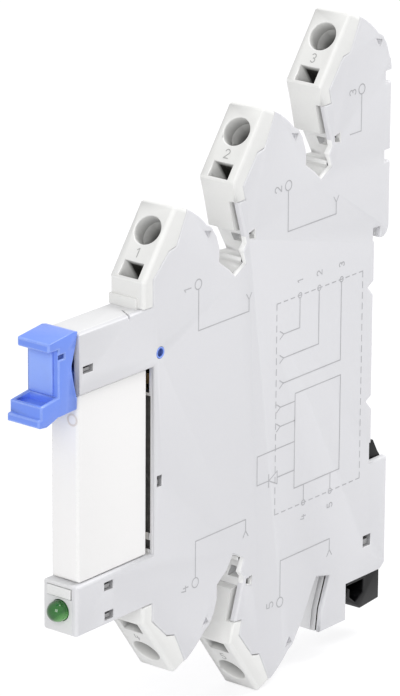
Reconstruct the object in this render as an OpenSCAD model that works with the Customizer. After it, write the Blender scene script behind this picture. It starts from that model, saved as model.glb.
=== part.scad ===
// Slim relay module for a 35 mm top-hat rail: socket housing, plug-in relay, ejector and rail latch.
// X runs along the rail, -Y is the front, +Y is the rail side and +Z is up.
// The origin is the centre of the rail's seat.

/* [Housing] */
// Width of the module along the rail
module_w = 6.2; // [6:0.1:7.4]
// Thickness of the two side walls
side_wall = 1; // [0.8:0.05:1.1]
// Thickness of the edge walls
rim = 1; // [0.8:0.05:1.2]
// Depth from the rail's seat to the front of the upper arm
arm_reach = 68; // [66:0.5:74]
// Height of the hollow arm over the relay
arm_h = 9; // [8.8:0.1:11]
// Height of the indicator arm under the relay
led_arm_h = 7.6; // [7.2:0.1:9]
// How far the indicator arm stands in front of the upper arm
led_arm_lead = 0.7; // [0.4:0.1:1.2]
// Height of the relay bay's ceiling over the rail's centre
bay_top = 9.5; // [9:0.1:10]
// Distance from the rail's seat to the rear edge
back_reach = 3.6; // [3.2:0.1:4.2]

/* [Rail] */
// Width of the rail
rail_w = 35; // [34.6:0.1:35.4]
// Thickness of the rail's flange
rail_t = 1; // [1:0.1:1.4]
// Play between the rail and the hook
rail_play = 0.2; // [0.1:0.05:0.4]
// How far the hook reaches down behind the rail
hook_grip = 1.6; // [1.2:0.1:1.8]
// Height of the block that holds the latch
block_h = 18.2; // [17.6:0.1:20]
// Distance from the rail's seat to the back of the block
block_reach = 4.1; // [3.9:0.1:4.6]

/* [Terminals] */
// Step from one terminal to the next, towards the rail
step_back = 20; // [19.6:0.1:21]
// Step up from one upper terminal to the next
step_up = 10; // [9.6:0.1:11]
// Step down from the front lower terminal to the next
step_down = 9.3; // [9:0.1:10]
// Distance from the arm's front to the first terminals
head_inset = 14; // [13.6:0.1:14.6]
// Height of the first upper terminal's corner over the arm
head_rise = 4; // [3.8:0.1:4.6]
// Drop of the first lower terminal's corner under the indicator arm
head_drop = 2.6; // [2.4:0.1:3]
// Length of a terminal's slanted face
face_len = 12.1; // [11.8:0.1:12.4]
// Lean of the slanted face from upright, in degrees
face_tilt = 36; // [34:0.5:38]
// Diameter of the round wire entry
wire_d = 4.4; // [4:0.1:4.5]
// Width of the square screwdriver way
driver_w = 3.5; // [3:0.1:3.6]
// Height of the square screwdriver way
driver_h = 2.4; // [2.1:0.1:2.6]

/* [Relay] */
// Height of the relay along the module
relay_h = 28; // [27.6:0.1:29]
// Depth of the relay from its face to its base
relay_d = 15; // [14.8:0.1:15.4]
// Width of the relay
relay_w = 5; // [4.9:0.05:5.2]
// Wall of the relay's cover
relay_wall = 0.45; // [0.35:0.05:0.5]
// Play between the relay and the arms
relay_play = 0.2; // [0.1:0.05:0.3]

/* [Ejector] */
// Diameter of the ejector's pivot boss
pivot_d = 1.7; // [1.5:0.1:2]
// Width of the ejector's front
lever_w = 5.8; // [5.4:0.1:6]
// Width of the ejector's arm inside the hollow arm
lever_arm_w = 3.4; // [3:0.1:3.6]
// Opening angle of the ejector, in degrees
lever_throw = 14; // [8:1:14]

/* [Latch] */
// Width of the rail latch
latch_w = 3.9; // [3.6:0.1:4]
// Travel of the rail latch
latch_travel = 2.5; // [2:0.1:2.8]
// Number of turns of the latch spring
latch_turns = 8; // [6:1:10]

/* [Indicator] */
// Diameter of the indicator's dome
led_d = 3.1; // [2.9:0.1:3.4]
// Distance from the indicator arm's lower edge to the dome's axis
led_rise = 3.5; // [3.2:0.1:3.8]

/* [Hidden] */
$fn = 48;

// Overrun of every cut past the face it opens
over = 0.5;
// Gap between flat faces that slide on each other
slip = 0.1;
// Radial play of a pin in its hole
pin_play = 0.05;

side = module_w / 2;
inner = side - side_wall;
arm_front = -arm_reach;
arm_top = bay_top + arm_h;
bay_bottom = bay_top - relay_h - 2 * relay_play;
led_front = arm_front - led_arm_lead;
led_arm_bottom = bay_bottom - led_arm_h;

// The relay's own box, its face stands a little in front of the arm's face line
relay_inset = 0.3;
bay_gap = 1.1;
relay_front = arm_front + relay_inset;
relay_rear = relay_front + relay_d;
relay_low = bay_bottom + relay_play;
relay_high = relay_low + relay_h;
relay_half = relay_w / 2;
relay_in = relay_half - relay_wall;
bay_back = relay_rear + bay_gap;

// Rail side
seat_step = 0.3;
hook_gap = 0.5;
groove_top = rail_w / 2 + rail_play;
hook_tip = groove_top - hook_grip - rail_play;
hook_in = rail_t + hook_gap;
seat_low = -rail_w / 2 + 1.3 * rail_t;
block_top = -rail_w / 2 - 1.8 * rail_t;
block_low = block_top - block_h;

// Foot beside the latch
foot_front = -12;
foot_rear = -5.5;
foot_drop = 5.8;
foot_low = block_low - foot_drop;
slot_h = 3.5;
slot_top = block_low + slot_h;

// A terminal is [y, z, side], where side is 1 above the rail and -1 below it.
// The point is the lower front corner of its slanted face.
head_y = arm_front + head_inset;
T14 = [head_y, arm_top + head_rise, 1];
T11 = [head_y + step_back, T14[1] + step_up, 1];
T12 = [head_y + 2 * step_back, T14[1] + 2 * step_up, 1];
TA1 = [head_y, led_arm_bottom - head_drop, -1];
TA2 = [head_y + step_back, TA1[1] - step_down, -1];

// Outlines of a terminal and of the steps beside it, as shares of the face's length
crown_end_share = [1.17, 0.44];
crown_bend_share = 1.49;
seam_shares = [[0.19, -0.07], [0.46, 0.28], [0.6, 0.31]];
foot_seam_share = 0.17;
rear_shares = [[1.26, 0.39], [1.35, 0.26], [1.41, 0.09]];
slope_shares = [[1.41, -0.08], [1.6, -0.22]];
tray_step_shares = [
    [0.09, -1.21], [0.28, -1.15], [0.31, -1.09], [0.26, -1.04], [0.27, -0.99],
    [0.5, -1.01], [0.44, -0.9], [0.3, -0.66], [0.18, -0.26]
];
cover_step_shares = [
    [0.07, -1.16], [0.27, -1.05], [0.25, -0.99], [0.21, -0.88], [0.28, -0.8], [0.26, -0.72],
    [0.11, -0.26], [0.24, -0.25]
];
apron_shares = [[0.07, -0.26], [0.17, -0.65]];
apron_back_shares = [[0.3, -0.66], [0.18, -0.26]];
apron_slit = 0.45;
CROWN_STEPS = 6;
CROWN_SEAM = 2;

function scaled(shares) = [for (p = shares) p * face_len];
function placed(t, points) = [for (p = points) [t[0] + p[0], t[1] + t[2] * p[1]]];
function reversed(points) = [for (i = [len(points) - 1:-1:0]) points[i]];
function part_of(points, first, last) = [for (i = [first:last]) points[i]];

// Arc from a to b that turns clockwise with the given radius
function arc_points(a, b, r, steps) =
    let (c = b - a, l = norm(c), m = (a + b) / 2, h = sqrt(r * r - l * l / 4))
    let (o = m + [c[1], -c[0]] * h / l)
    let (a0 = atan2(a[1] - o[1], a[0] - o[0]), a1 = atan2(b[1] - o[1], b[0] - o[0]))
    [for (i = [0:steps]) let (w = a0 + (a1 - a0) * i / steps) o + r * [cos(w), sin(w)]];

face_top = face_len * [sin(face_tilt), cos(face_tilt)];
crown = arc_points(face_top, face_len * crown_end_share, face_len * crown_bend_share, CROWN_STEPS);
crown_rear = part_of(crown, CROWN_SEAM, CROWN_STEPS);
crown_front = part_of(crown, 0, CROWN_SEAM);

// Seam of a terminal that stands on an arm, from the arm up to the crown
function arm_seam(t, foot) = placed(t, concat(
    [[face_len * foot_seam_share, -foot], [face_len * foot_seam_share, 0]],
    part_of(scaled(seam_shares), 1, 2), crown_rear));
function step_seam(t, shares) = placed(t, concat(scaled(shares), scaled(seam_shares), crown_rear));
function rear_run(t) = placed(t, scaled(concat(rear_shares, slope_shares)));

// Rear edge from the top terminal down to the rail, with its two assembly notches
notch_d = 1.3;
notch_h = 1.7;
notch_drops = [1, 13.2];
notch_z = [for (d = notch_drops) T12[1] - d];
rear_round = 3.6;
rear_edge = concat(
    placed(T12, scaled(rear_shares)),
    [[back_reach - 0.08 * rear_round, T12[1] + 0.25 * rear_round]],
    [for (z = notch_z) each [
        [back_reach, z], [back_reach - notch_d, z],
        [back_reach - notch_d, z - notch_h], [back_reach, z - notch_h]]],
    [[back_reach, hook_tip + hook_grip], [back_reach - 0.1 * hook_grip, hook_tip + 0.7 * hook_grip],
     [back_reach - 0.35 * hook_grip, hook_tip + 0.25 * hook_grip], [back_reach - 0.8 * hook_grip, hook_tip],
     [hook_in, hook_tip], [hook_in, groove_top], [-seat_step, groove_top],
     [-seat_step, hook_tip - slip], [0, hook_tip - slip]]);

// Seat of the rail, with two shallow V notches, down to the block and the foot
vee_d = 1.2;
vee_h = 2;
vee_share = 0.65;
vee_z = [rail_w * 0.27, -rail_w * 0.245];
seat_edge = concat(
    [for (z = vee_z) each [[0, z], [-vee_d, z - vee_h * (1 - vee_share)], [0, z - vee_h]]],
    [[0, seat_low], [-seat_step, seat_low], [-seat_step, block_top], [block_reach, block_top],
     [block_reach, block_low + 0.2 * block_reach], [0.75 * block_reach, block_low],
     [foot_rear, block_low], [foot_rear, foot_low], [foot_front, foot_low]]);

// Lower edge from the foot to the indicator arm
slot_foot_share = [1.4, 0.19];
function lower_run(step_shares) = concat(
    placed(TA2, [face_len * slot_foot_share]),
    reversed(placed(TA2, scaled(part_of(rear_shares, 0, 1)))),
    reversed(step_seam(TA2, step_shares)),
    reversed(rear_run(TA1)),
    reversed(arm_seam(TA1, head_drop)));

function outline(step_shares) = concat(
    [[arm_front, bay_top], [arm_front, arm_top]],
    arm_seam(T14, head_rise), rear_run(T14),
    step_seam(T11, step_shares), rear_run(T11),
    step_seam(T12, step_shares),
    rear_edge, seat_edge, lower_run(step_shares),
    [[led_front, led_arm_bottom], [led_front, bay_bottom], [bay_back, bay_bottom], [bay_back, bay_top]]);

// Draws a shape of the YZ plane as a plate between two places on X
module slab(low, high) {
    translate([low, 0, 0]) rotate([90, 0, 90]) linear_extrude(high - low) children();
}

// Frame of a terminal: X stays, Y points in behind the slanted face and Z runs up the face
module at_terminal(t) {
    translate([0, t[0], t[1]])
        if (t[2] > 0) rotate([-face_tilt, 0, 0]) children();
        else mirror([0, 0, 1]) rotate([-face_tilt, 0, 0]) children();
}

// Block between two corners
module block(a, b) {
    translate(a) cube(b - a);
}

// Cylinder along X between two places
module rod_x(r, low, high) {
    translate([low, 0, 0]) rotate([0, 90, 0]) cylinder(r = r, h = high - low);
}

// Places along a terminal's face and behind it
driver_low = 0.4;
way_gap = 2.7;
wire_s = driver_low + driver_h + way_gap + wire_d / 2;
wire_bore_len = 2.5;
throat_d = 2.8;
throat_len = 2;
head_depth = 6.4;
loop_gap = 4;
chamber_reach = 2;
head_top_s = 10.2;
head_low_s = 0.2;
head_half = inner - slip / 2;
chamber_n = head_depth + loop_gap + chamber_reach;
chamber_low = -0.6;
chamber_high = 10.4;
bar_s = 9.3;
bar_t = 0.8;
bar_len = 4.6;
bar_half = 1.7;

// Clamp spring: a leaf wound round a post, one leg on the chamber's floor, one leg up to the bar
loop_n = head_depth + loop_gap;
loop_s = 2.4;
post_r = 1.3;
leaf_t = 0.4;
loop_r = post_r + 2 * pin_play;
leg_angle = 37;
clamp_leg = 6.9;
base_leg = 3.8;
leaf_half = 1.6;

function to_world(t, n, s) = [
    t[0] + n * cos(face_tilt) + s * sin(face_tilt),
    t[1] + t[2] * (s * cos(face_tilt) - n * sin(face_tilt))];

// Pivot of the ejector
pivot_in = 1.4;
pivot_rise = 1.8;
pivot_y = bay_back + pivot_in;
pivot_z = bay_top + pivot_rise;
hub_r = 1.95;

module pivot_cut(r, low, high) {
    translate([0, pivot_y, pivot_z]) rod_x(r, low, high);
}

// Windows of the cover and the tray's hooks in them. Each is measured from a corner of the housing to
// the window's lower front corner. The last list says how high the web that carries the hook is rooted.
window_corners = [[arm_front, bay_top], [led_front, bay_bottom], [led_front, led_arm_bottom],
    [bay_back, bay_top], [0, block_low]];
window_in = [0.8, 6.1, 6.2, 0.7, -1.5];
window_up = [3, -2.4, 0.7, -18.4, 4.8];
window_w = [2.2, 1.9, 1.9, 1.1, 1.9];
window_h = [1.1, 1.3, 1.3, 1.7, 1.8];
web_roots = [arm_top - rim, bay_bottom - rim, led_arm_bottom + rim, bay_back, 0];
windows = [for (i = [0:len(window_corners) - 1])
    [window_corners[i][0] + window_in[i], window_corners[i][1] + window_up[i], window_w[i], window_h[i],
        i < 3 ? web_roots[i] : window_corners[i][1] + window_up[i] + 2 * slip]];
hook_stand = 0.35;
web_x = lever_arm_w / 2 + slip;

// Round inner space of the chambers in a terminal's frame
module chamber(t, low, high) {
    at_terminal(t) block([low, -over, chamber_low], [high, chamber_n, chamber_high]);
}

// Space inside the tray behind all the edge walls
shaft_in = 7.4;
shaft_drop = 5.6;
shaft_11 = [T11[0] + shaft_in, T11[1] - shaft_drop];
shaft_12 = [T12[0] + shaft_in, T12[1] - shaft_drop];
hall_rise = 6.5;
hall_low = TA1[1] + hall_rise;
hall_drop = 2.1;
low_hall_rise = 7;
foot_wall = 2.4;
block_floor = 6.5;
module inner_space(low, high) {
    block([low, bay_back + rim, hall_low], [high, -rim, arm_top - hall_drop]);
    block([low, shaft_11[0], 0], [high, -rim, shaft_11[1]]);
    block([low, shaft_12[0], T14[1]], [high, back_reach - notch_d - rim, shaft_12[1]]);
    block([low, shaft_11[0], TA2[1] + low_hall_rise], [high, foot_front - foot_wall, 0]);
    block([low, shaft_11[0], block_low + block_floor], [high, -seat_step - rim, 0]);
    block([low, arm_front - over, bay_top + rim], [high, bay_back + 2 * rim, arm_top - rim]);
    block([low, led_front + rim, led_arm_bottom + rim], [high, bay_back + 2 * rim, bay_bottom - rim]);
    for (t = [T14, T11, T12, TA1, TA2]) {
        chamber(t, low, high);
        bar_way(t, low, high);
    }
}

// Way of a current bar from its terminal down to the inner space
bar_way_rise = 1;
bar_way_drop = 7.5;
bar_play = 0.3;
module bar_way(t, low, high) {
    w = strip_w / 2 + bar_play;
    z = [t[1] + t[2] * bar_way_rise, t[1] - t[2] * bar_way_drop];
    block([low, t[0] + strip_run - w, min(z)], [high, t[0] + strip_run + w, max(z)]);
}

// Way of the ejector's hub and tail
tail_x = [0.65, 1.35];
tail_drop = 5.3;
tail_swing = 0.6;
module lever_way() {
    pivot_cut(hub_r + slip, -inner, inner + over);
    block([tail_x[0] - slip, relay_rear - tail_swing, pivot_z - tail_drop - tail_swing],
        [inner + over, bay_back + rim + over, pivot_z]);
}

// Slots for the relay's pins in the bay's back wall
pin_w = 0.5;
pin_h = 1;
pin_reach = 4.2;
contact_drops = [2.3, 4.7, 7.1];
coil_rises = [9.2, 4.2];
pin_z = concat([for (d = contact_drops) relay_high - d], [for (r = coil_rises) relay_low + r]);
module pin_slots() {
    for (z = pin_z)
        block([-pin_w, bay_back - over, z - 0.8 * pin_h], [pin_w, bay_back + rim + over, z + 0.8 * pin_h]);
}

// Channel of the latch in the block
channel_y = 0.8;
latch_plate_t = 0.8;
shelf_rise = 4.1;
shelf_z = block_low + shelf_rise;
shelf_t = 1;
module latch_channel(low, high) {
    block([low, channel_y, block_low - over], [high, block_reach + over, block_top + over]);
}
lip_half = 1.3;
lip_play = 0.4;
block_hang = 4.7;
spring_seat = block_top - block_hang;
lip_z = [block_low + block_floor, spring_seat - latch_travel - lip_play];
module latch_lip(low, high) {
    block([low, channel_y + latch_plate_t + 2 * slip, lip_z[0]],
        [high, channel_y + 2.2 * latch_plate_t, lip_z[1]]);
}

// Groove beside the foot, with a deep slit along its rear edge
slot_span = 11;
slot_shares = [[0, 0], [0.32, -0.07], [0.15, -0.53], [0.11, -0.85], [0.11, -1], [-0.4, -1], [-0.4, -0.73]];
slot_in = 1.2;
slot_corner = [foot_front - slot_in, slot_top];
slit_w = 0.5;
module slot_shape() {
    polygon([for (p = slot_shares) slot_corner + p * slot_span]);
}

// Window in the front of a step, under the terminal's apron
window_y = [3.4, 6.2];
window_z = [-10.3, -8.9];
window_x = [-0.6, 2.8];
module valley_window(t) {
    z = [t[1] + t[2] * window_z[0], t[1] + t[2] * window_z[1]];
    block([window_x[0], t[0] + window_y[0], min(z)], [window_x[1], t[0] + window_y[1], max(z)]);
}

// Small three-cornered pocket in both side faces behind each terminal's crown
pocket_depth = 0.5;
pocket_shares = [[1.13, 0.37], [1.25, 0.34], [1.2, 0.27]];

// Slit in the bay's back wall along the seam, in two lengths with a rib between them
bay_slit_x = [1.2, 2.4];
bay_slit_d = 0.7 * rim;
bay_slit_z = [[0.6, 2], [3.1, 23.9]];
module bay_slit() {
    for (z = bay_slit_z)
        block([bay_slit_x[0], bay_back - over, bay_bottom + z[0]],
            [bay_slit_x[1], bay_back + bay_slit_d, bay_bottom + z[1]]);
}

// Slanted groove in the top of the ejector's arm, in front of the first terminal
arm_slit_w = 0.25;
arm_slit_d = 0.5;
arm_slit_x = 0.4;
arm_slit_in = 1.8;
arm_slit_turn = 29;
module arm_slit() {
    translate([arm_slit_x, head_y - arm_slit_in, arm_top - arm_slit_d]) rotate([0, 0, -arm_slit_turn])
        block([0, 0, 0], [side, arm_slit_w, arm_slit_d + over]);
}

// Tray: left wall, all the edge walls, the hook, the seat and the foot
recess_d = 0.6;
recess_floor = inner - recess_d;
module housing_tray() {
    color("whitesmoke") {
        difference() {
            slab(-side, inner) polygon(outline(tray_step_shares));
            inner_space(-inner, inner + over);
            lever_way();
            pin_slots();
            pivot_cut(pivot_d / 2 + pin_play, -side - over, 0);
            latch_channel(-inner, inner + over);
            slab(recess_floor, inner + over) slot_shape();
            slab(slip - inner, inner + over) difference() {
                slot_shape();
                translate([-slit_w, 0]) slot_shape();
            }
            led_hole();
            marker_recess();
            for (t = [T11, T12, TA2]) valley_window(t);
            for (t = [T14, T11, T12, TA1, TA2]) slab(-side - over, pocket_depth - side)
                polygon(placed(t, scaled(pocket_shares)));
            bay_slit();
            arm_slit();
        }
        for (t = [T14, T11, T12, TA1, TA2])
            at_terminal(t) translate([0, loop_n, loop_s]) rod_x(post_r, -inner - over / 2, inner - slip);
        block([-inner, channel_y + latch_plate_t + 2 * slip, shelf_z],
            [inner - slip, block_reach - slip, shelf_z + shelf_t]);
        latch_lip(-inner, -lip_half);
        for (w = windows) {
            block([web_x, w[0] + slip, w[1] + slip],
                [inner + hook_stand, w[0] + w[2] - slip, w[1] + w[3] / 2]);
            block([web_x, w[0] + slip, min(w[4], w[1] + slip)],
                [inner, w[0] + w[2] - slip, max(w[4], w[1] + slip)]);
        }
        for (p = board_posts)
            translate([0, p[0], p[1]]) rod_x(board_post_r, -inner - over / 2, board_x);
    }
}

// Cover: the right side wall
module side_cover() {
    color("gainsboro") {
        difference() {
            slab(inner, side) polygon(outline(cover_step_shares));
            for (w = windows)
                block([inner - over, w[0], w[1]], [side + over, w[0] + w[2], w[1] + w[3]]);
            pivot_cut(pivot_d / 2 + pin_play, inner - over, side + over);
            slab(inner - over, side + over) slot_shape();
            for (t = [T11, T12, TA2]) {
                valley_window(t);
                slab(inner - over, side + over) polygon(placed(t, scaled(eyelet_shares)));
            }
            for (t = [T14, T11, T12, TA1, TA2]) slab(side - pocket_depth, side + over)
                polygon(placed(t, scaled(pocket_shares)));
            bay_slit();
            arm_slit();
        }
        latch_lip(lip_half, inner);
    }
}
eyelet_shares = [[0.32, -0.69], [0.43, -0.66], [0.44, -0.78], [0.33, -0.76]];

// Terminal head: slanted face, side faces up to the seam and the block with both ways
module terminal_head(t, foot) {
    color("white") difference() {
        union() {
            if (foot > 0) slab(-side, side) polygon(placed(t, concat(
                [[0, 0], [0, -foot], [face_len * foot_seam_share, -foot], [face_len * foot_seam_share, 0]],
                part_of(scaled(seam_shares), 1, 2), reversed(crown_front))));
            if (foot == 0) {
                slab(-side, inner) polygon(placed(t, concat([[0, 0]],
                    scaled(concat([apron_shares[0], apron_back_shares[1]], seam_shares)),
                        reversed(crown_front))));
                slab(inner, side) polygon(placed(t, concat([[0, 0]],
                    scaled(concat([apron_shares[0], cover_step_shares[7]], seam_shares)),
                        reversed(crown_front))));
                slab(-side, inner - apron_slit) polygon(placed(t, concat([[0, 0]],
                    scaled(concat(apron_shares, apron_back_shares, [seam_shares[0]])))));
            }
            at_terminal(t) block([-head_half, wire_bore_len / 2, head_low_s],
                [head_half, head_depth, head_top_s]);
        }
        at_terminal(t) {
            translate([0, 0, wire_s]) rotate([-90, 0, 0]) {
                translate([0, 0, -over]) cylinder(d = wire_d, h = wire_bore_len + over);
                cylinder(d = throat_d, h = head_depth + over);
                translate([0, 0, wire_bore_len]) cylinder(d1 = 1.3 * throat_d, d2 = throat_d,
                    h = throat_len);
            }
            block([-driver_w / 2, -over, driver_low],
                [driver_w / 2, head_depth + over, driver_low + driver_h]);
        }
    }
}
module terminal_head_14() { terminal_head(T14, head_rise); }
module terminal_head_11() { terminal_head(T11, 0); }
module terminal_head_12() { terminal_head(T12, 0); }
module terminal_head_a1() { terminal_head(TA1, head_drop); }
module terminal_head_a2() { terminal_head(TA2, 0); }

// Clamp spring in a terminal's frame
module clamp_spring(t) {
    color("silver") at_terminal(t) translate([0, loop_n, loop_s]) {
        difference() {
            rod_x(loop_r + leaf_t, -leaf_half, leaf_half);
            rod_x(loop_r, -leaf_half - over, leaf_half + over);
            block([-leaf_half - over, -2 * loop_r, -2 * loop_r], [leaf_half + over, 0, 2 * loop_r]);
            rotate([leg_angle, 0, 0])
                block([-leaf_half - over, -2 * loop_r, 0], [leaf_half + over, 2 * loop_r, 2 * loop_r]);
        }
        block([-leaf_half, -base_leg, -loop_r - leaf_t], [leaf_half, 0, -loop_r]);
        rotate([leg_angle, 0, 0]) block([-leaf_half, loop_r, 0], [leaf_half, loop_r + leaf_t, clamp_leg]);
    }
}
module clamp_spring_14() { clamp_spring(T14); }
module clamp_spring_11() { clamp_spring(T11); }
module clamp_spring_12() { clamp_spring(T12); }
module clamp_spring_a1() { clamp_spring(TA1); }
module clamp_spring_a2() { clamp_spring(TA2); }

// Flat strip along a path in the YZ plane, with round corners
module strip(points, w, low, high) {
    for (i = [0:len(points) - 2]) {
        a = points[i];
        b = points[i + 1];
        translate([0, a[0], a[1]]) rotate([atan2(b[1] - a[1], b[0] - a[0]), 0, 0])
            block([low, 0, -w / 2], [high, norm(b - a), w / 2]);
    }
    for (p = points) translate([0, p[0], p[1]]) rod_x(w / 2, low, high);
}

// Current bars: a clamp plate over the wire, then a strip to the contact or the board
strip_w = 1.6;
strip_t = 0.6;
strip_run = 13.4;
lane_play = 0.2;
lane_14 = -inner + lane_play;
lane_11 = -strip_t / 2;
lane_12 = inner - 2 * lane_play - strip_t;
fork_front = bay_back + rim + lane_play;
fork_len = 4;
fork_half = 1.1;
fork_back = fork_front + fork_len;
tab_y = fork_back + strip_w / 2;
module clamp_plate(t) {
    at_terminal(t) block([-bar_half, head_depth + slip, bar_s],
        [bar_half, head_depth + slip + bar_len, bar_s + bar_t]);
}
strip_rise = 1.8;
function drop_start(t) = [t[0] + strip_run, t[1] + t[2] * strip_rise];
module current_bar_14() {
    p = drop_start(T14);
    color("peru") {
        clamp_plate(T14);
        strip([p, [p[0], pin_z[2]], [tab_y, pin_z[2]]], strip_w, lane_14, lane_14 + strip_t);
        block([lane_14, fork_back, pin_z[2] - strip_w / 2],
            [strip_t / 2, fork_back + strip_t, pin_z[2] + strip_w / 2]);
    }
}
module current_bar_11() {
    p = drop_start(T11);
    color("peru") {
        clamp_plate(T11);
        strip([p, [p[0], pin_z[1]], [tab_y, pin_z[1]]], strip_w, lane_11, lane_11 + strip_t);
    }
}
bend_drop = 2.5;
bend_in = 2;
module current_bar_12() {
    p = drop_start(T12);
    color("peru") {
        clamp_plate(T12);
        strip([p, [p[0], T11[1] - bend_drop], [T12[0] + bend_in, pin_z[0]], [tab_y, pin_z[0]]],
            strip_w, lane_12, lane_12 + strip_t);
        block([-strip_t / 2, fork_back, pin_z[0] - strip_w / 2],
            [lane_12 + strip_t, fork_back + strip_t, pin_z[0] + strip_w / 2]);
    }
}

// Circuit board between the coil terminals, the relay's coil contacts and the indicator
board_t = 0.8;
board_x = -inner + lane_play;
board_face = board_x + board_t;
board_in = 5.4;
board_back = 10;
board_rise = 5.4;
board_drop = 1.6;
board_play = 0.5;
board_y = [bay_back + board_in, -board_back];
board_z = [led_arm_bottom + board_rise, pin_z[2] - board_drop];
tongue_z = [led_arm_bottom + rim + board_play, bay_bottom - rim - board_play];
tongue_in = 5.2;
tongue_front = led_front + tongue_in;
neck_in = 1.4;
neck_w = 4;
neck_front = bay_back + neck_in;
neck_low = hall_low + lane_play;
post_inset = 3;
board_posts = [
    [board_y[0] + post_inset, board_z[1] - post_inset], [board_y[1] - post_inset, board_z[1] - post_inset],
    [board_y[1] - post_inset, board_z[0] + post_inset]];
board_post_r = 0.8;
module circuit_board() {
    color("darkgreen") slab(board_x, board_face) polygon([
        [board_y[0], board_z[1]], [board_y[1], board_z[1]], [board_y[1], board_z[0]],
        [board_y[0] + neck_w, board_z[0]], [board_y[0] + neck_w, neck_low], [neck_front, neck_low],
        [neck_front, tongue_z[0]], [tongue_front, tongue_z[0]],
        [tongue_front, tongue_z[1]], [board_y[0], tongue_z[1]]]);
}
module coil_bar(t) {
    p = drop_start(t);
    color("peru") {
        clamp_plate(t);
        strip([p, [p[0], board_z[0] + 1.5 * strip_w]], strip_w, board_face, board_face + strip_t);
    }
}
module current_bar_a1() { coil_bar(TA1); }
module current_bar_a2() { coil_bar(TA2); }

// Fork contacts that grip the relay's pins
fork_clearance = 0.03;
fork_slot = pin_w / 2 + fork_clearance;
module fork(z) {
    difference() {
        block([-fork_half, fork_front, z - strip_w / 2], [fork_half, fork_back, z + strip_w / 2]);
        block([-fork_slot, fork_front - over, z - strip_w], [fork_slot, fork_back - strip_t, z + strip_w]);
    }
}
module board_fork(z) {
    fork(z);
    block([board_face, fork_back - strip_t, z - strip_w / 2],
        [board_face + strip_t, fork_back + 2 * strip_w, z + strip_w / 2]);
}
module socket_contact_14() { color("goldenrod") fork(pin_z[2]); }
module socket_contact_11() { color("goldenrod") fork(pin_z[1]); }
module socket_contact_12() { color("goldenrod") fork(pin_z[0]); }
module socket_contact_a1() { color("goldenrod") board_fork(pin_z[4]); }
module socket_contact_a2() { color("goldenrod") board_fork(pin_z[3]); }

// Components of the protection and indication circuit, seated on the board
rectifier_size = [2.4, 6.6, 4.6];
rectifier_at = [11, 8];
varistor_r = 2.6;
varistor_t = 1.8;
varistor_at = [14, 4];
resistor_size = [0.6, 3.2, 1.6];
resistor_at = [7, 5];
diode_size = [2, 4.3, 2.6];
diode_at = [4.4, 2.5];
module on_board(y, z, size) {
    block([board_face, y, z], [board_face + size[0], y + size[1], z + size[2]]);
}
module bridge_rectifier() {
    color("dimgray") on_board(board_y[0] + rectifier_at[0], board_z[0] + rectifier_at[1], rectifier_size);
}
module surge_varistor() {
    color("royalblue") translate([0, board_y[0] + varistor_at[0], board_z[0] + varistor_at[1]])
        rod_x(varistor_r, board_face, board_face + varistor_t);
}
module chip_resistors() {
    color("black") for (i = [0:3])
        on_board(board_y[1] - resistor_at[0], board_z[1] - resistor_at[1] - 2 * i * resistor_size[2],
            resistor_size);
}
module flyback_diode() {
    color("dimgray") on_board(board_y[0] + diode_at[0], (pin_z[3] + pin_z[4]) / 2 + diode_at[1],
        diode_size);
}

// Indicator at the front of the lower arm
led_z = led_arm_bottom + led_rise;
led_stand = 0.6;
led_step = 0.7;
led_flange_d = led_d + led_step;
led_body_len = 2.6;
module along_y(y, z) {
    translate([0, y, z]) rotate([-90, 0, 0]) children();
}
module led_hole() {
    along_y(led_front, led_z) translate([0, 0, -over]) cylinder(d = led_d + 4 * pin_play,
        h = rim + 2 * over);
}
module indicator_led() {
    color("green") {
        translate([0, led_front - led_stand, led_z]) sphere(d = led_d);
        along_y(led_front - led_stand, led_z) cylinder(d = led_d, h = led_stand + rim + 2 * slip);
        along_y(led_front + rim + slip, led_z) cylinder(d = led_flange_d, h = led_body_len);
    }
}
lead_half = 0.2;
lead_gap = 1.27;
lead_start = led_front + rim + slip + led_body_len;
module led_leads() {
    color("silver") for (k = [-1, 1])
        block([board_face, lead_start, led_z + k * lead_gap - lead_half],
            [board_face + 2 * lead_half, lead_start + 3 * lead_gap, led_z + k * lead_gap + lead_half]);
}

// Marker plate in a shallow recess over the indicator
marker_d = 0.5;
marker_w = 4.6;
marker_h = 1.5;
marker_drop = 0.6;
marker_z = bay_bottom - marker_drop;
marker_stand = 0.2;
marker_inset = 0.3;
module marker_recess() {
    block([-marker_w / 2 - slip, led_front - over, marker_z - marker_h - slip],
        [marker_w / 2 + slip, led_front + marker_d, marker_z + slip]);
}
module marker_plate() {
    color("white") block([-marker_w / 2, led_front - marker_stand, marker_z - marker_h],
        [marker_w / 2 - marker_inset, led_front + marker_d - slip / 2, marker_z]);
}

// Ejector lever: thumb grip in front of the arm, bar inside the arm, hub, tail and pivot boss
grip_reach = 4.2;
grip_y = arm_front - grip_reach;
grip_t = 1.2;
cheek_t = 0.9;
cheek_gap = 0.35;
cheek_back = arm_front - cheek_gap;
cheek_curve = 2.6;
lip_drop = 1.8;
lip_low = bay_top - lip_drop;
lever_half = lever_w / 2;
bar_low = bay_top + rim + 1.5 * slip;
bar_h = 2;
pocket_d = 0.6;
pocket_wall = 0.6;
tail_gap = 0.15;
lever_h = 10;
cheek_shares = [[0, 0.98], [0.12, 0.85], [0.42, 0.62], [0.42, 0.54], [0.2, 0.32], [0, 0.14], [0, 0]];
cheek_front_shares = [[0, -0.05], [0, -0.02]];
panel_shares = [[0, -0.18], [0.04, 0.45], [0, 0.8], [0.12, 0.8], [0.12, -0.18]];
ledge_shares = [[-0.63, -0.12], [-0.63, 0.01], [-0.1, 0.07], [-0.01, 0.05], [-0.01, 0.03],
    [-0.035, -0.02], [-0.075, -0.12]];
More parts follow.
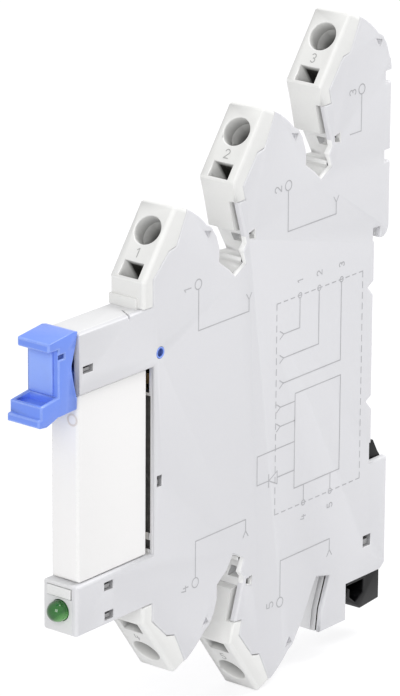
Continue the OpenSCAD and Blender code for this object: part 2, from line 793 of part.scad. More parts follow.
box_shares = [
    [-0.79, -0.13], [-0.79, 0.04], [-0.36, 0.1], [-0.3, -0.18], [-0.42, -0.19], [-0.58, -0.25],
        [-0.68, -0.28],
    [-0.85, -0.26], [-0.85, -0.14]
];
function lever_points(corner, shares) = [for (p = shares) corner + p * lever_h];
module ejector_lever() {
    cheek_h = arm_top - lip_low;
    rear = [for (p = cheek_shares) [cheek_back - p[0] * cheek_curve, lip_low + p[1] * cheek_h]];
    front = [lever_points([grip_y, arm_top], cheek_front_shares)[0],
        lever_points([grip_y, lip_low], cheek_front_shares)[1]];
    box = lever_points([arm_front, bay_top], box_shares);
    color("royalblue") {
        for (x = [-lever_half, lever_half - cheek_t])
            slab(x, x + cheek_t) polygon(concat([front[0]], rear, [front[1]]));
        slab(-lever_half, lever_half) polygon(lever_points([grip_y, bay_top], panel_shares));
        slab(-lever_half, lever_half) polygon(lever_points([arm_front, arm_top], ledge_shares));
        difference() {
            slab(-lever_half, lever_half) polygon(box);
            block([pocket_wall - lever_half, box[0][0] + pocket_wall, box[1][1] - pocket_d],
                [lever_half - pocket_wall, grip_y - slip, box[2][1] + over]);
        }
        block([-lever_half, grip_y + grip_t - 2 * slip, lip_low], [lever_half, cheek_back, bay_top]);
        block([-lever_arm_w / 2, grip_y + grip_t / 2, bar_low],
            [lever_arm_w / 2, pivot_y, bar_low + bar_h]);
        pivot_cut(hub_r - slip, -inner + 2 * slip, inner - 2 * slip);
        pivot_cut(pivot_d / 2, -side, side);
        block([tail_x[0], relay_rear + tail_gap, pivot_z - tail_drop],
            [tail_x[1], relay_rear + rim + tail_gap, pivot_z]);
    }
}

// Rail latch: nose behind the rail, plate in the channel, foot with a driver pocket
latch_half = latch_w / 2;
nose_top = -rail_w / 2 + 1.1 * rail_t;
nose_gap = 0.2;
nose_front = rail_t + nose_gap;
nose_round = 0.4;
latch_back = block_reach - nose_gap;
plate_y = channel_y + slip;
latch_foot_top = block_low - nose_gap;
foot_h = 5.5;
latch_foot_low = latch_foot_top - foot_h;
latch_foot_shares = [
    [-0.87, 0], [0.6, 0], [0.6, -0.93], [-0.24, -1], [-0.87, -0.69], [-1.11, -0.64], [-1.11, -0.42],
        [-0.87, -0.38]
];
latch_pocket_shares = [[-0.98, -0.16], [-0.11, -0.16], [-0.11, -0.56], [-0.45, -0.76], [-0.73, -0.53],
    [-0.73, -0.29]];
function latch_points(shares) = [for (p = shares) [plate_y, latch_foot_top] + p * foot_h];
module rail_latch() {
    color("#1c1c1e") {
        slab(-latch_half, latch_half) polygon([
            [plate_y, block_top], [nose_front, nose_top - nose_round],
                [nose_front + nose_round / 2, nose_top],
            [nose_front + 2.5 * nose_round, nose_top - nose_round / 4],
            [latch_back - 1.5 * nose_round, block_top + 2 * nose_round], [latch_back, block_top],
            [latch_back, spring_seat], [plate_y, spring_seat]]);
        block([-latch_half, plate_y, latch_foot_low + nose_round],
            [latch_half, plate_y + latch_plate_t, spring_seat + nose_round]);
        block([-latch_half, plate_y, block_low - nose_round],
            [latch_half, latch_back, shelf_z - latch_travel / 2]);
        difference() {
            slab(-latch_half, latch_half) polygon(latch_points(latch_foot_shares));
            slab(pocket_wall - latch_half, latch_half + over) polygon(latch_points(latch_pocket_shares));
        }
    }
}

// Latch spring: a coil between the shelf and the latch
spring_r = 0.85;
spring_wire = 0.17;
spring_y = (plate_y + latch_plate_t + block_reach) / 2 + slip;
SPRING_SIDES = 8;
SPRING_TURN_STEPS = 14;
spring_base = shelf_z + shelf_t + spring_wire;
spring_len = spring_seat - spring_base - spring_wire;
function spring_ring(i) =
    let (a = 360 * i / SPRING_TURN_STEPS, turn_share = i / (latch_turns * SPRING_TURN_STEPS),
        z = spring_base + spring_len * turn_share)
    [for (k = [0:SPRING_SIDES - 1]) let (b = 360 * k / SPRING_SIDES, r = spring_r + spring_wire * cos(b))
        [r * cos(a), spring_y + r * sin(a), z + spring_wire * sin(b)]];
module latch_spring() {
    rings = latch_turns * SPRING_TURN_STEPS;
    points = [for (i = [0:rings]) each spring_ring(i)];
    faces = concat(
        [[for (k = [0:SPRING_SIDES - 1]) k]],
        [for (i = [0:rings - 1]) for (k = [0:SPRING_SIDES - 1])
            let (a = i * SPRING_SIDES, m = (k + 1) % SPRING_SIDES)
            [a + k, a + k + SPRING_SIDES, a + m + SPRING_SIDES, a + m]],
        [[for (k = [SPRING_SIDES - 1:-1:0]) rings * SPRING_SIDES + k]]);
    color("silver") polyhedron(points, faces);
}

// Relay cover and base
base_t = 1.4;
module relay_cover() {
    color("white") difference() {
        block([-relay_half, relay_front, relay_low], [relay_half, relay_rear, relay_high]);
        block([-relay_in, relay_front + relay_wall, relay_low + relay_wall],
            [relay_in, relay_rear + over, relay_high - relay_wall]);
    }
}
base_front = relay_rear - base_t;
module relay_base() {
    color("ivory") difference() {
        block([-relay_in, base_front, relay_low + relay_wall],
            [relay_in, relay_rear, relay_high - relay_wall]);
        for (z = pin_z)
            block([-pin_w / 2, base_front - over, z - pin_h / 2],
                [pin_w / 2, relay_rear + over, z + pin_h / 2]);
    }
}
module relay_pin(z, front) {
    block([-pin_w / 2, front, z - pin_h / 2], [pin_w / 2, relay_rear + pin_reach, z + pin_h / 2]);
}
pin_root = 0.8;
module coil_pins() {
    color("goldenrod") for (i = [3, 4]) relay_pin(pin_z[i], base_front - pin_root);
}

// Coil: core along Z, bobbin and winding round it, yoke behind it
coil_rise = 1.9;
coil_low = relay_low + relay_wall + coil_rise;
flange_t = 0.8;
armature_drop = 3.35;
armature_z = pin_z[2] - armature_drop;
pole_gap = 0.55;
pole_rise = 1.1;
pole_top = armature_z - pole_gap;
coil_top = pole_top - pole_rise;
coil_h = coil_top - coil_low;
coil_in = 6.4;
coil_mid = relay_front + coil_in;
coil_half = 4.9;
core_half = 2;
core_x = 0.6;
tube_wall = 0.4;
yoke_t = 0.8;
yoke_gap = 1.2;
yoke_y = base_front - yoke_gap;
yoke_half = 1.6;
module coil_bobbin() {
    color("sandybrown") difference() {
        union() {
            for (z = [coil_low, coil_top - flange_t])
                block([-relay_in + slip, coil_mid - coil_half, z],
                    [relay_in - slip, coil_mid + coil_half, z + flange_t]);
            block([-core_x - tube_wall, coil_mid - core_half - tube_wall, coil_low],
                [core_x + tube_wall, coil_mid + core_half + tube_wall, coil_top]);
        }
        block([-core_x, coil_mid - core_half, coil_low - over],
            [core_x, coil_mid + core_half, coil_top + over]);
    }
}
wind_inset = 0.3;
wind_x = relay_in - wind_inset;
wind_half = coil_half - wind_inset;
module coil_winding() {
    color("chocolate") difference() {
        translate([0, coil_mid, coil_low + flange_t]) linear_extrude(coil_h - 2 * flange_t) {
            square([2 * wind_x, 2 * (wind_half - wind_x)], center = true);
            for (k = [-1, 1]) translate([0, k * (wind_half - wind_x)]) circle(r = wind_x);
        }
        block([-core_x - tube_wall, coil_mid - core_half - tube_wall, coil_low],
            [core_x + tube_wall, coil_mid + core_half + tube_wall, coil_top]);
    }
}
module coil_core() {
    color("lightslategray") block([-core_x, coil_mid - core_half, coil_low - yoke_t],
        [core_x, coil_mid + core_half, pole_top]);
}
module yoke() {
    color("slategray") difference() {
        union() {
            block([-yoke_half, yoke_y - yoke_t, coil_low - yoke_t], [yoke_half, yoke_y, armature_z - slip]);
            block([-yoke_half, coil_mid - core_half - yoke_t, coil_low - yoke_t],
                [yoke_half, yoke_y, coil_low]);
        }
        block([-core_x, coil_mid - core_half, coil_low - yoke_t - over],
            [core_x, coil_mid + core_half, coil_low + over]);
    }
}

// Armature over the pole, hinged on the yoke's end
armature_t = 0.8;
card_in = 2.1;
card_y = relay_front + card_in;
card_t = 0.8;
tongue_half = 0.6;
card_gap = 0.2;
tongue_over = 0.4;
armature_front = card_y + card_t + card_gap;
module armature() {
    color("slategray") {
        block([-yoke_half, armature_front, armature_z],
            [yoke_half, yoke_y + tongue_over, armature_z + armature_t]);
        block([-tongue_half, card_y - tongue_over, armature_z],
            [tongue_half, armature_front + over, armature_z + armature_t]);
    }
}
spring_leaf = 0.15;
return_half = 1;
return_fold = 0.5;
return_len = 5;
return_reach = 1.5;
module return_spring() {
    low = armature_z - return_len;
    top = armature_z + armature_t + card_gap;
    fold_y = yoke_y + return_fold;
    color("silver") {
        block([-return_half, yoke_y, low], [return_half, yoke_y + spring_leaf, armature_z - slip]);
        block([-return_half, fold_y, low], [return_half, fold_y + spring_leaf, top]);
        block([-return_half, yoke_y, low], [return_half, fold_y + spring_leaf, low + 2 * spring_leaf]);
        block([-return_half, yoke_y - return_reach, top],
            [return_half, fold_y + spring_leaf, top + spring_leaf]);
    }
}

// Contact set: the blades stand out of the base, the card bends the middle one
blade_t = 0.4;
blade_half = 1.5;
rivet_r = 1.1;
rivet_in = 5.5;
rivet_y = relay_front + rivet_in;
blade_z = pin_z[1];
moving_t = 0.27;
moving_rivet = 0.75;
contact_gap = 0.45;
root_gap = 0.3;
blade_root = base_front - root_gap;
blade_gap = 0.6;
blade_front = card_y + card_t + blade_gap;
rest_gap = 0.03;
clip_len = 1.6;
card_foot = 0.8;
card_head = 1.2;
card_half = 1.4;
card_play = 0.12;
module moving_blade() {
    color("goldenrod") {
        block([-card_half, blade_front, blade_z - moving_t / 2],
            [card_half, blade_root, blade_z + moving_t / 2]);
        block([-tongue_half, card_y - tongue_over, blade_z - moving_t / 2],
            [tongue_half, blade_front + over, blade_z + moving_t / 2]);
        translate([0, rivet_y, blade_z - moving_rivet]) cylinder(r = rivet_r, h = 2 * moving_rivet);
    }
}
module com_terminal() {
    color("goldenrod") {
        relay_pin(blade_z, base_front);
        block([-blade_half, base_front - clip_len, blade_z + moving_t / 2 + slip],
            [blade_half, base_front, blade_z + moving_t / 2 + slip + blade_t]);
    }
}
module fixed_blade(z, rivet_end) {
    relay_pin(z, base_front);
    block([-blade_half, blade_front, z - blade_t / 2], [blade_half, base_front, z + blade_t / 2]);
    translate([0, rivet_y, min(z, rivet_end)]) cylinder(r = rivet_r, h = abs(z - rivet_end));
}
module no_terminal() {
    color("goldenrod") fixed_blade(pin_z[2], blade_z - moving_rivet - contact_gap);
}
module nc_terminal() {
    color("goldenrod") fixed_blade(pin_z[0], blade_z + moving_rivet + rest_gap);
}
module pusher_card() {
    color("ivory") difference() {
        block([-card_half, card_y, armature_z - card_foot],
            [card_half, card_y + card_t, blade_z + card_head]);
        for (w = [[armature_z, armature_z + armature_t], [blade_z - moving_t / 2, blade_z + moving_t / 2]])
            block([-tongue_half - card_play, card_y - over, w[0] - card_play],
                [tongue_half + card_play, card_y + card_t + over, w[1] + card_play]);
    }
}

housing_tray();
side_cover();
terminal_head_14();
terminal_head_11();
terminal_head_12();
terminal_head_a1();
terminal_head_a2();
clamp_spring_14();
clamp_spring_11();
clamp_spring_12();
clamp_spring_a1();
clamp_spring_a2();
current_bar_14();
current_bar_11();
current_bar_12();
current_bar_a1();
current_bar_a2();
socket_contact_14();
socket_contact_11();
socket_contact_12();
socket_contact_a1();
socket_contact_a2();
circuit_board();
bridge_rectifier();
surge_varistor();
chip_resistors();
flyback_diode();
indicator_led();
led_leads();
marker_plate();
ejector_lever();
rail_latch();
latch_spring();
relay_cover();
relay_base();
coil_pins();
coil_bobbin();
coil_winding();
coil_core();
yoke();
armature();
return_spring();
pusher_card();
moving_blade();
com_terminal();
no_terminal();
nc_terminal();
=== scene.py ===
"""Looks of a slim rail-mounted relay module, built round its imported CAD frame."""

import sys

import logging
import math
from collections.abc import Callable, Sequence
from dataclasses import dataclass
from enum import Enum
from functools import partial

import bmesh
import bpy
from bmesh.types import BMEdge, BMesh, BMFace, BMVert
from bpy.types import Mesh, Node, NodeSocket, NodeTree
from mathutils import Matrix, Vector
from mathutils.bvhtree import BVHTree


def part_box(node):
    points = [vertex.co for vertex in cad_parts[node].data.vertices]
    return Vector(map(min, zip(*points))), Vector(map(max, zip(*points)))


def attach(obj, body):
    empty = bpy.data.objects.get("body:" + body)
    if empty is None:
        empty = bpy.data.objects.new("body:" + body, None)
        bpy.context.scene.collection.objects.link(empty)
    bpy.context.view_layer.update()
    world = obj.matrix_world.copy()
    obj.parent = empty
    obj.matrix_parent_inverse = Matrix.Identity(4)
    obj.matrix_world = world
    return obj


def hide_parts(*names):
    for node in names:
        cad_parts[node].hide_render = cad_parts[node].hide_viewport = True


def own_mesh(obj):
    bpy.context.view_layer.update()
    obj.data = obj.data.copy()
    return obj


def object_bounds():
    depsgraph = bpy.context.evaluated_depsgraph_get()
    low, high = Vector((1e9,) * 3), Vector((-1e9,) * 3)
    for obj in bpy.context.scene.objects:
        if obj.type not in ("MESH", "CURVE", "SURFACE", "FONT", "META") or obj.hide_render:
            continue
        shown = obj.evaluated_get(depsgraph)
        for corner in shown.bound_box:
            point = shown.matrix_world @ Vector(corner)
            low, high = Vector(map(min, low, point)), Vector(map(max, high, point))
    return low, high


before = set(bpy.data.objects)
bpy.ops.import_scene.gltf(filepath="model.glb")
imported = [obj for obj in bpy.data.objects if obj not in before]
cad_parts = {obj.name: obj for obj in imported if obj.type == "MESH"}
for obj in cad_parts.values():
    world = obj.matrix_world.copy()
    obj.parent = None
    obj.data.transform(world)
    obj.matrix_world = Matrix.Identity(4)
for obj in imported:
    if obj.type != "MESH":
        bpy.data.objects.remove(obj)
CAD_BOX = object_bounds()

LOG = logging.getLogger("relay_module")
MM = 0.001
NEAR = 0.02 * MM
SHARP = math.radians(20)
RUNS_ON = -0.85
STROKE_LEVEL = 0.01
STROKE_LEVELS = 7
PRINT_LIFT = 0.012 * MM
IMAGE_SIZE = (400, 696)
COLOUR_SOCKETS = ("Colour", "Edge", "Dark", "White")

Colour = tuple[float, float, float]
Span = tuple[float, float]
RadiusRule = Callable[[BMEdge], float]
FaceRule = Callable[[BMFace], float]
Inputs = dict[str | int, object]


class Body(Enum):
    """Bodies of the frame that a piece can ride on."""

    MODULE = "module"
    EJECTOR = "ejector"
    LATCH = "latch"
    RELAY = "relay"


class Slot(Enum):
    """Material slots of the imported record."""

    TRAY = "tray_plastic"
    COVER = "cover_plastic"
    HEAD = "head_plastic"
    RELAY = "relay_plastic"
    EJECTOR = "ejector_plastic"
    LATCH = "latch_plastic"
    MARKER = "marker_plastic"
    LENS = "indicator_lens"
    SPRING = "spring_steel"
    COPPER = "plated_copper"
    CONTACT = "contact_alloy"
    IRON = "magnet_iron"
    WINDING = "winding_wire"
    COIL = "coil_plastic"
    BOARD = "board_laminate"
    COMPONENT = "component_plastic"
    VARISTOR = "varistor_epoxy"


def shade(*screen: int) -> Colour:
    """Linear colour of a screen colour given as red, green and blue from 0 to 255."""
    parts = [value / 255 for value in screen]
    return tuple(part / 12.92 if part <= 0.04045 else ((part + 0.055) / 1.055) ** 2.4 for part in parts)


def toned(colour: Colour, share: float) -> Colour:
    """A darker or lighter share of a colour."""
    return tuple(part * share for part in colour)


def within(value: float, span: Span) -> bool:
    """Whether a value lies inside a span."""
    return span[0] < value < span[1]


def put(name: str, data: bpy.types.ID) -> bpy.types.Object:
    """Puts a new object into the scene.

    Args:
        name: Name of the object.
        data: Its mesh, light or camera.

    Returns:
        The object.
    """
    made = bpy.data.objects.new(name, data)
    bpy.context.scene.collection.objects.link(made)
    return made


def axes(*columns: Vector) -> Matrix:
    """Matrix with three axes and a place as its columns.

    Args:
        columns: Its X, Y and Z axis and its place.

    Returns:
        The matrix.
    """
    matrix = Matrix.Identity(4)
    for number, column in enumerate(columns):
        matrix.col[number][:3] = column
    return matrix


class Wiring:
    """Adds nodes to one node tree and joins them."""

    def __init__(self, tree: NodeTree) -> None:
        """Starts on a tree with no nodes in it."""
        self.tree = tree
        tree.nodes.clear()

    def wire(self, node: Node, inputs: Inputs) -> Node:
        """Joins sockets to a node's inputs, or writes plain values into them.

        Args:
            node: The node.
            inputs: What each input takes, by its name or number, a colour as three linear values.

        Returns:
            The same node.
        """
        for key, value in inputs.items():
            socket = node.inputs[key]
            if isinstance(value, NodeSocket):
                self.tree.links.new(value, socket)
            else:
                socket.default_value = (*value, 1.0) if socket.type == "RGBA" else value
        return node

    def node(self, kind: str, inputs: Inputs | None = None, **settings: object) -> Node:
        """Adds a node.

        Args:
            kind: Blender's name of the node type.
            inputs: What its inputs take.
            settings: Properties of the node to set.

        Returns:
            The new node.
        """
        made = self.tree.nodes.new(kind)
        for key, value in settings.items():
            setattr(made, key, value)
        return self.wire(made, inputs or {})

    def maths(self, operation: str, first: object, second: object, clamp: bool = False) -> NodeSocket:
        """Result of a Math node on two sockets or numbers, kept between 0 and 1 if clamped."""
        made = self.node("ShaderNodeMath", {0: first, 1: second}, operation=operation, use_clamp=clamp)
        return made.outputs[0]

    def times(self, first: object, second: object, clamp: bool = False) -> NodeSocket:
        """First times second."""
        return self.maths("MULTIPLY", first, second, clamp)

    def plus(self, first: object, second: object, clamp: bool = False) -> NodeSocket:
        """First plus second."""
        return self.maths("ADD", first, second, clamp)

    def minus(self, first: object, second: object) -> NodeSocket:
        """First minus second."""
        return self.maths("SUBTRACT", first, second)

    def higher(self, first: object, second: object) -> NodeSocket:
        """The higher of two values."""
        return self.maths("MAXIMUM", first, second)

    def places(self, stretch: Sequence[float] = (1.0, 1.0, 1.0)) -> NodeSocket:
        """Object coordinates of the piece, stretched along its axes."""
        source = self.node("ShaderNodeTexCoord").outputs["Object"]
        return self.node("ShaderNodeMapping", {"Vector": source, "Scale": stretch}).outputs[0]

    def noise(
        self, scale: object, detail: float = 2.0, rough: float = 0.5,
        stretch: Sequence[float] = (1.0, 1.0, 1.0)
    ) -> NodeSocket:
        """Noise over the piece, with a scale in cells a metre, and layers as fine and strong as given."""
        inputs = {"Vector": self.places(stretch), "Scale": scale, "Detail": detail, "Roughness": rough}
        return self.node("ShaderNodeTexNoise", inputs).outputs["Fac"]

    def blend(self, share: object, first: object, second: object) -> NodeSocket:
        """Mix of two colours, with a share of the second."""
        made = self.node("ShaderNodeMix", {0: share, 6: first, 7: second}, data_type="RGBA")
        return made.outputs[2]

    def spread(
        self, value: NodeSocket, low: float, high: float, new_low: float = 0.0, new_high: float = 1.0
    ) -> NodeSocket:
        """A value mapped from one range to another and kept in there."""
        inputs = {"Value": value, "From Min": low, "From Max": high, "To Min": new_low, "To Max": new_high}
        return self.node("ShaderNodeMapRange", inputs).outputs[0]

    def mark(self, name: str) -> NodeSocket:
        """Value of a mark on the mesh, 0 where it has none."""
        return self.node("ShaderNodeAttribute", attribute_name=name).outputs["Fac"]

    def seen(self) -> NodeSocket:
        """Finds the rays that show a surface as it is.

        Returns:
            1 for rays from the camera and those sent on by a glossy or a clear surface.
        """
        path = self.node("ShaderNodeLightPath").outputs
        sent_on = self.higher(path["Is Glossy Ray"], path["Is Transmission Ray"])
        return self.higher(path["Is Camera Ray"], sent_on)


class Effects:
    """Shader node groups that several finishes share, each built once by the method of its name."""

    def __init__(self) -> None:
        """Starts with no groups."""
        self.made: dict[str, NodeTree] = {}

    def group(self, name: str) -> NodeTree:
        """Finds a group, and makes it the first time.

        Args:
            name: Name of the effect.

        Returns:
            Its node group.
        """
        if name not in self.made:
            getattr(self, name)()
        return self.made[name]

    def _start(
        self, name: str, takes: Sequence[str], gives: Sequence[str]
    ) -> tuple[Wiring, dict[str, NodeSocket], Node]:
        """Starts a group with its sockets.

        Args:
            name: Name of the group.
            takes: Names of what goes in, colours if they are among COLOUR_SOCKETS, else values.
            gives: Names of what comes out.

        Returns:
            The group's wiring, what goes in by name, and its output node.
        """
        tree = bpy.data.node_groups.new(name, "ShaderNodeTree")
        for way, words in (("INPUT", takes), ("OUTPUT", gives)):
            for word in words:
                kind = "NodeSocketColor" if word in COLOUR_SOCKETS else "NodeSocketFloat"
                tree.interface.new_socket(name=word, in_out=way, socket_type=kind)
        self.made[name] = tree
        w = Wiring(tree)
        start = w.node("NodeGroupInput")
        return w, {word: start.outputs[word] for word in takes}, w.node("NodeGroupOutput")

    def mould_grain(self) -> None:
        """Spark-eroded grain of a moulding tool, as a height and as a mask of its hollows."""
        w, given, end = self._start("mould_grain", ["Size"], ["Height", "Hollows"])
        fine_share, broad_share = 0.75, 0.25
        fine = w.noise(w.maths("DIVIDE", 1.0, given["Size"]), detail=3.0, rough=0.6)
        broad = w.noise(w.maths("DIVIDE", 0.28, given["Size"]), detail=1.0)
        height = w.plus(w.times(fine, fine_share), w.times(broad, broad_share))
        hollows = w.spread(height, low=0.35, high=0.6, new_low=1.0, new_high=0.0)
        w.wire(end, {"Height": height, "Hollows": hollows})

    def tone_drift(self) -> None:
        """Slow change of tone over a moulding, from the flow of the plastic."""
        w, given, end = self._start("tone_drift", ["Colour", "Drift"], ["Colour"])
        cloud_swing, streak_swing = 1.6, 0.7
        cloud = w.noise(160.0, detail=3.0, rough=0.55, stretch=(1.0, 0.45, 0.45))
        streak = w.noise(700.0, stretch=(1.0, 0.12, 1.0))
        swing = w.plus(w.times(w.minus(cloud, 0.5), cloud_swing), w.times(w.minus(streak, 0.5), streak_swing))
        factor = w.plus(1.0, w.times(swing, given["Drift"]))
        scaled = w.node("ShaderNodeVectorMath", {0: given["Colour"], "Scale": factor}, operation="SCALE")
        w.wire(end, {"Colour": scaled.outputs[0]})

    def edge_highlight(self) -> None:
        """Painted highlight along the rounded edges: a paler, smoother strip, broken up in patches."""
        w, given, end = self._start("edge_highlight", ["Colour", "Edge", "Amount"], ["Colour", "Mask"])
        patches = w.spread(w.noise(900.0, detail=3.0, rough=0.6), low=0.3, high=0.7, new_low=0.35)
        mask = w.times(w.times(w.mark("edge_mask"), patches), given["Amount"], clamp=True)
        w.wire(end, {"Colour": w.blend(mask, given["Colour"], given["Edge"]), "Mask": mask})

    def dusk(self) -> None:
        """Darkness deep in holes and open seams, where hardly any light gets in."""
        w, given, end = self._start("dusk", ["Colour", "Dark"], ["Colour", "Mask"])
        cloud = w.spread(w.noise(1200.0), low=0.3, high=0.7, new_low=0.92)
        mask = w.times(w.higher(w.mark("deep_face"), w.mark("deep_point")), cloud, clamp=True)
        w.wire(end, {"Colour": w.blend(mask, given["Colour"], given["Dark"]), "Mask": mask})

    def pale(self) -> None:
        """Whiter plastic on the faces that are marked for it, with painted light that lifts their shade."""
        w, given, end = self._start("pale", ["Colour", "White"], ["Colour"])
        cloud = w.spread(w.noise(700.0), low=0.3, high=0.7, new_low=0.85)
        mask = w.times(w.mark("pale_face"), cloud, clamp=True)
        w.wire(end, {"Colour": w.blend(mask, given["Colour"], given["White"])})

    def scuffs(self) -> None:
        """Fine short scratches from handling, as a mask."""
        w, given, end = self._start("scuffs", ["Amount"], ["Mask"])
        upright = w.noise(5200.0, rough=0.7, stretch=(1.0, 1.0, 0.07))
        level = w.noise(4300.0, rough=0.7, stretch=(1.0, 0.09, 1.0))
        patch = w.spread(w.noise(130.0), low=0.45, high=0.65)
        lines = w.higher(w.spread(upright, low=0.66, high=0.74), w.spread(level, low=0.67, high=0.75))
        w.wire(end, {"Mask": w.times(w.times(lines, patch), given["Amount"], clamp=True)})

    def rolled_metal(self) -> None:
        """Rolling lines and tarnish of sheet metal, as a height and a mask."""
        w, given, end = self._start("rolled_metal", ["Size"], ["Height", "Tarnish"])
        lines = w.noise(w.maths("DIVIDE", 1.0, given["Size"]), rough=0.6, stretch=(1.0, 0.05, 0.05))
        tarnish = w.spread(w.noise(900.0, detail=4.0, rough=0.6), low=0.4, high=0.75)
        w.wire(end, {"Height": lines, "Tarnish": tarnish})


class Surface(Wiring):
    """Wiring of one material, with its Principled shader and the shared effects."""

    def __init__(self, name: str, effects: Effects) -> None:
        """Starts a node material with one shader.

        Args:
            name: Name of the material.
            effects: The shared node groups.
        """
        self.material = bpy.data.materials.new(name)
        self.material.use_nodes = True
        super().__init__(self.material.node_tree)
        self.effects = effects
        self.shader = self.node("ShaderNodeBsdfPrincipled")
        self.node("ShaderNodeOutputMaterial", {"Surface": self.shader.outputs[0]})

    def effect(self, name: str, **values: object) -> dict[str, NodeSocket]:
        """Puts a shared effect into the material.

        Args:
            name: Name of the effect.
            values: What its inputs take, named in small letters.

        Returns:
            What it gives, by name.
        """
        inputs = {word.capitalize(): value for word, value in values.items()}
        made = self.node("ShaderNodeGroup", inputs, node_tree=self.effects.group(name))
        return {socket.name: socket for socket in made.outputs}

    def bump(self, height: NodeSocket, depth: float, strength: float = 0.5) -> None:
        """Puts a height from 0 to 1 on the shader as a bump, with its full depth in metres."""
        made = self.node("ShaderNodeBump", {"Strength": strength, "Distance": depth, "Height": height})
        self.wire(self.shader, {"Normal": made.outputs[0]})


@dataclass(frozen=True)
class Finish:
    """What every finish has: the names of its material and its slot, and its main colour."""

    name: str
    slot: Slot
    colour: Colour

    def paint(self, w: Surface) -> None:
        """Wires a material as this finish."""
        raise NotImplementedError(self.name)


@dataclass(frozen=True)
class MouldedPlastic(Finish):
    """Finish of an injection-moulded piece."""

    # edge: colour of the painted highlight along the rounded edges
    edge: Colour
    roughness: float = 0.45
    grain: float = 0.16 * MM
    grain_depth: float = 0.006 * MM
    grain_bump: float = 0.6
    drift: float = 0.015
    edge_share: float = 0.35
    edge_smooth: float = 0.12
    scuff_share: float = 0.2
    scuff_rough: float = 0.25
    hollow_tone: float = 0.7
    hollow_share: float = 0.04
    hollow_rough: float = 0.06
    dusk_rough: float = 0.4
    coat: float = 0.0
    coat_roughness: float = 0.1
    specular: float = 0.5
    # dark: colour of the painted shade in holes, seams, slits and notches
    dark: Colour = (0.02, 0.019, 0.016)
    # white: whiter plastic with painted light, for the faces marked pale
    white: Colour = (0.93, 0.93, 0.92)

    def paint(self, w: Surface) -> None:
        """Wires a material as grained plastic.

        Args:
            w: Wiring of the material.
        """
        drifted = w.effect("tone_drift", colour=self.colour, drift=self.drift)
        # Painted highlight: paler colour on the rounded edges.
        wear_and_highlight = w.effect("edge_highlight", colour=drifted["Colour"], edge=self.edge, amount=self.edge_share)
        grain = w.effect("mould_grain", size=self.grain)
        scuff = w.effect("scuffs", amount=self.scuff_share)
        hollow = toned(self.colour, self.hollow_tone)
        grained = w.blend(w.times(grain["Hollows"], self.hollow_share), wear_and_highlight["Colour"], hollow)
        # Whiter plastic and painted light on the marked faces.
        pale = w.effect("pale", colour=grained, white=self.white)
        # Painted shade deep in holes, seams and slits.
        dusk = w.effect("dusk", colour=pale["Colour"], dark=self.dark)
        rough = w.plus(self.roughness, w.times(grain["Hollows"], self.hollow_rough))
        rough = w.minus(rough, w.times(wear_and_highlight["Mask"], self.edge_smooth))
        rough = w.plus(rough, w.times(dusk["Mask"], self.dusk_rough))
        rough = w.plus(rough, w.times(scuff["Mask"], self.scuff_rough), clamp=True)
        w.wire(w.shader, {
            "Base Color": dusk["Colour"], "Roughness": rough, "Coat Weight": self.coat,
            "Coat Roughness": self.coat_roughness, "Specular IOR Level": self.specular})
        w.bump(grain["Height"], self.grain_depth, self.grain_bump)


@dataclass(frozen=True)
class SheetMetal(Finish):
    """Finish of a stamped, plated or machined metal piece."""

    tarnish: Colour
    roughness: float = 0.3
    lines: float = 0.05 * MM
    line_depth: float = 0.004 * MM
    stain_share: float = 0.35
    stain_rough: float = 0.2

    def paint(self, w: Surface) -> None:
        """Wires a material as rolled metal.

        Args:
            w: Wiring of the material.
        """
        rolled = w.effect("rolled_metal", size=self.lines)
        colour = w.blend(w.times(rolled["Tarnish"], self.stain_share), self.colour, self.tarnish)
        rough = w.plus(self.roughness, w.times(rolled["Tarnish"], self.stain_rough))
        w.wire(w.shader, {"Base Color": colour, "Roughness": rough, "Metallic": 1.0})
        w.bump(rolled["Height"], self.line_depth)


@dataclass(frozen=True)
class LampLens(Finish):
    """Finish of the indicator's tinted clear resin, with painted shade towards its rim and painted light on
    its lower right, the side away from the lamps.
    """

    # deep: swirls of deeper tint and painted shade at the rim; lit: painted light on the lower right
    deep: Colour
    lit: Colour
    height: float
    lit_span: Span = (1.0 * MM, 2.9 * MM)
    rim_blend: float = 0.35
    rim_share: float = 0.85
    swirl_share: float = 0.3
    clear: float = 0.2
    index: float = 1.5
    coat: float = 0.4
    coat_roughness: float = 0.02

    def paint(self, w: Surface) -> None:
        """Wires a material as tinted resin.

        Args:
            w: Wiring of the material.
        """
        swirl = w.noise(700.0, detail=3.0)
        # Painted shade towards the rim, mixed with random swirls of deeper tint.
        layer = w.node("ShaderNodeLayerWeight", {"Blend": self.rim_blend})
        rim = w.times(layer.outputs["Facing"], self.rim_share)
        share = w.plus(rim, w.times(w.minus(swirl, 0.5), self.swirl_share), clamp=True)
        body = w.blend(share, self.colour, self.deep)
        # Painted light: lighter green towards the lower right of the lens.
        place = w.node("ShaderNodeSeparateXYZ", {0: w.places()}).outputs
        lit = w.spread(w.minus(place["X"], w.minus(place["Z"], self.height)), *self.lit_span)
        w.wire(w.shader, {
            "Base Color": w.blend(lit, body, self.lit),
            "Roughness": w.spread(swirl, low=0.2, high=0.8, new_low=0.03, new_high=0.09),
            "Transmission Weight": self.clear, "IOR": self.index,
            "Coat Weight": self.coat, "Coat Roughness": self.coat_roughness})


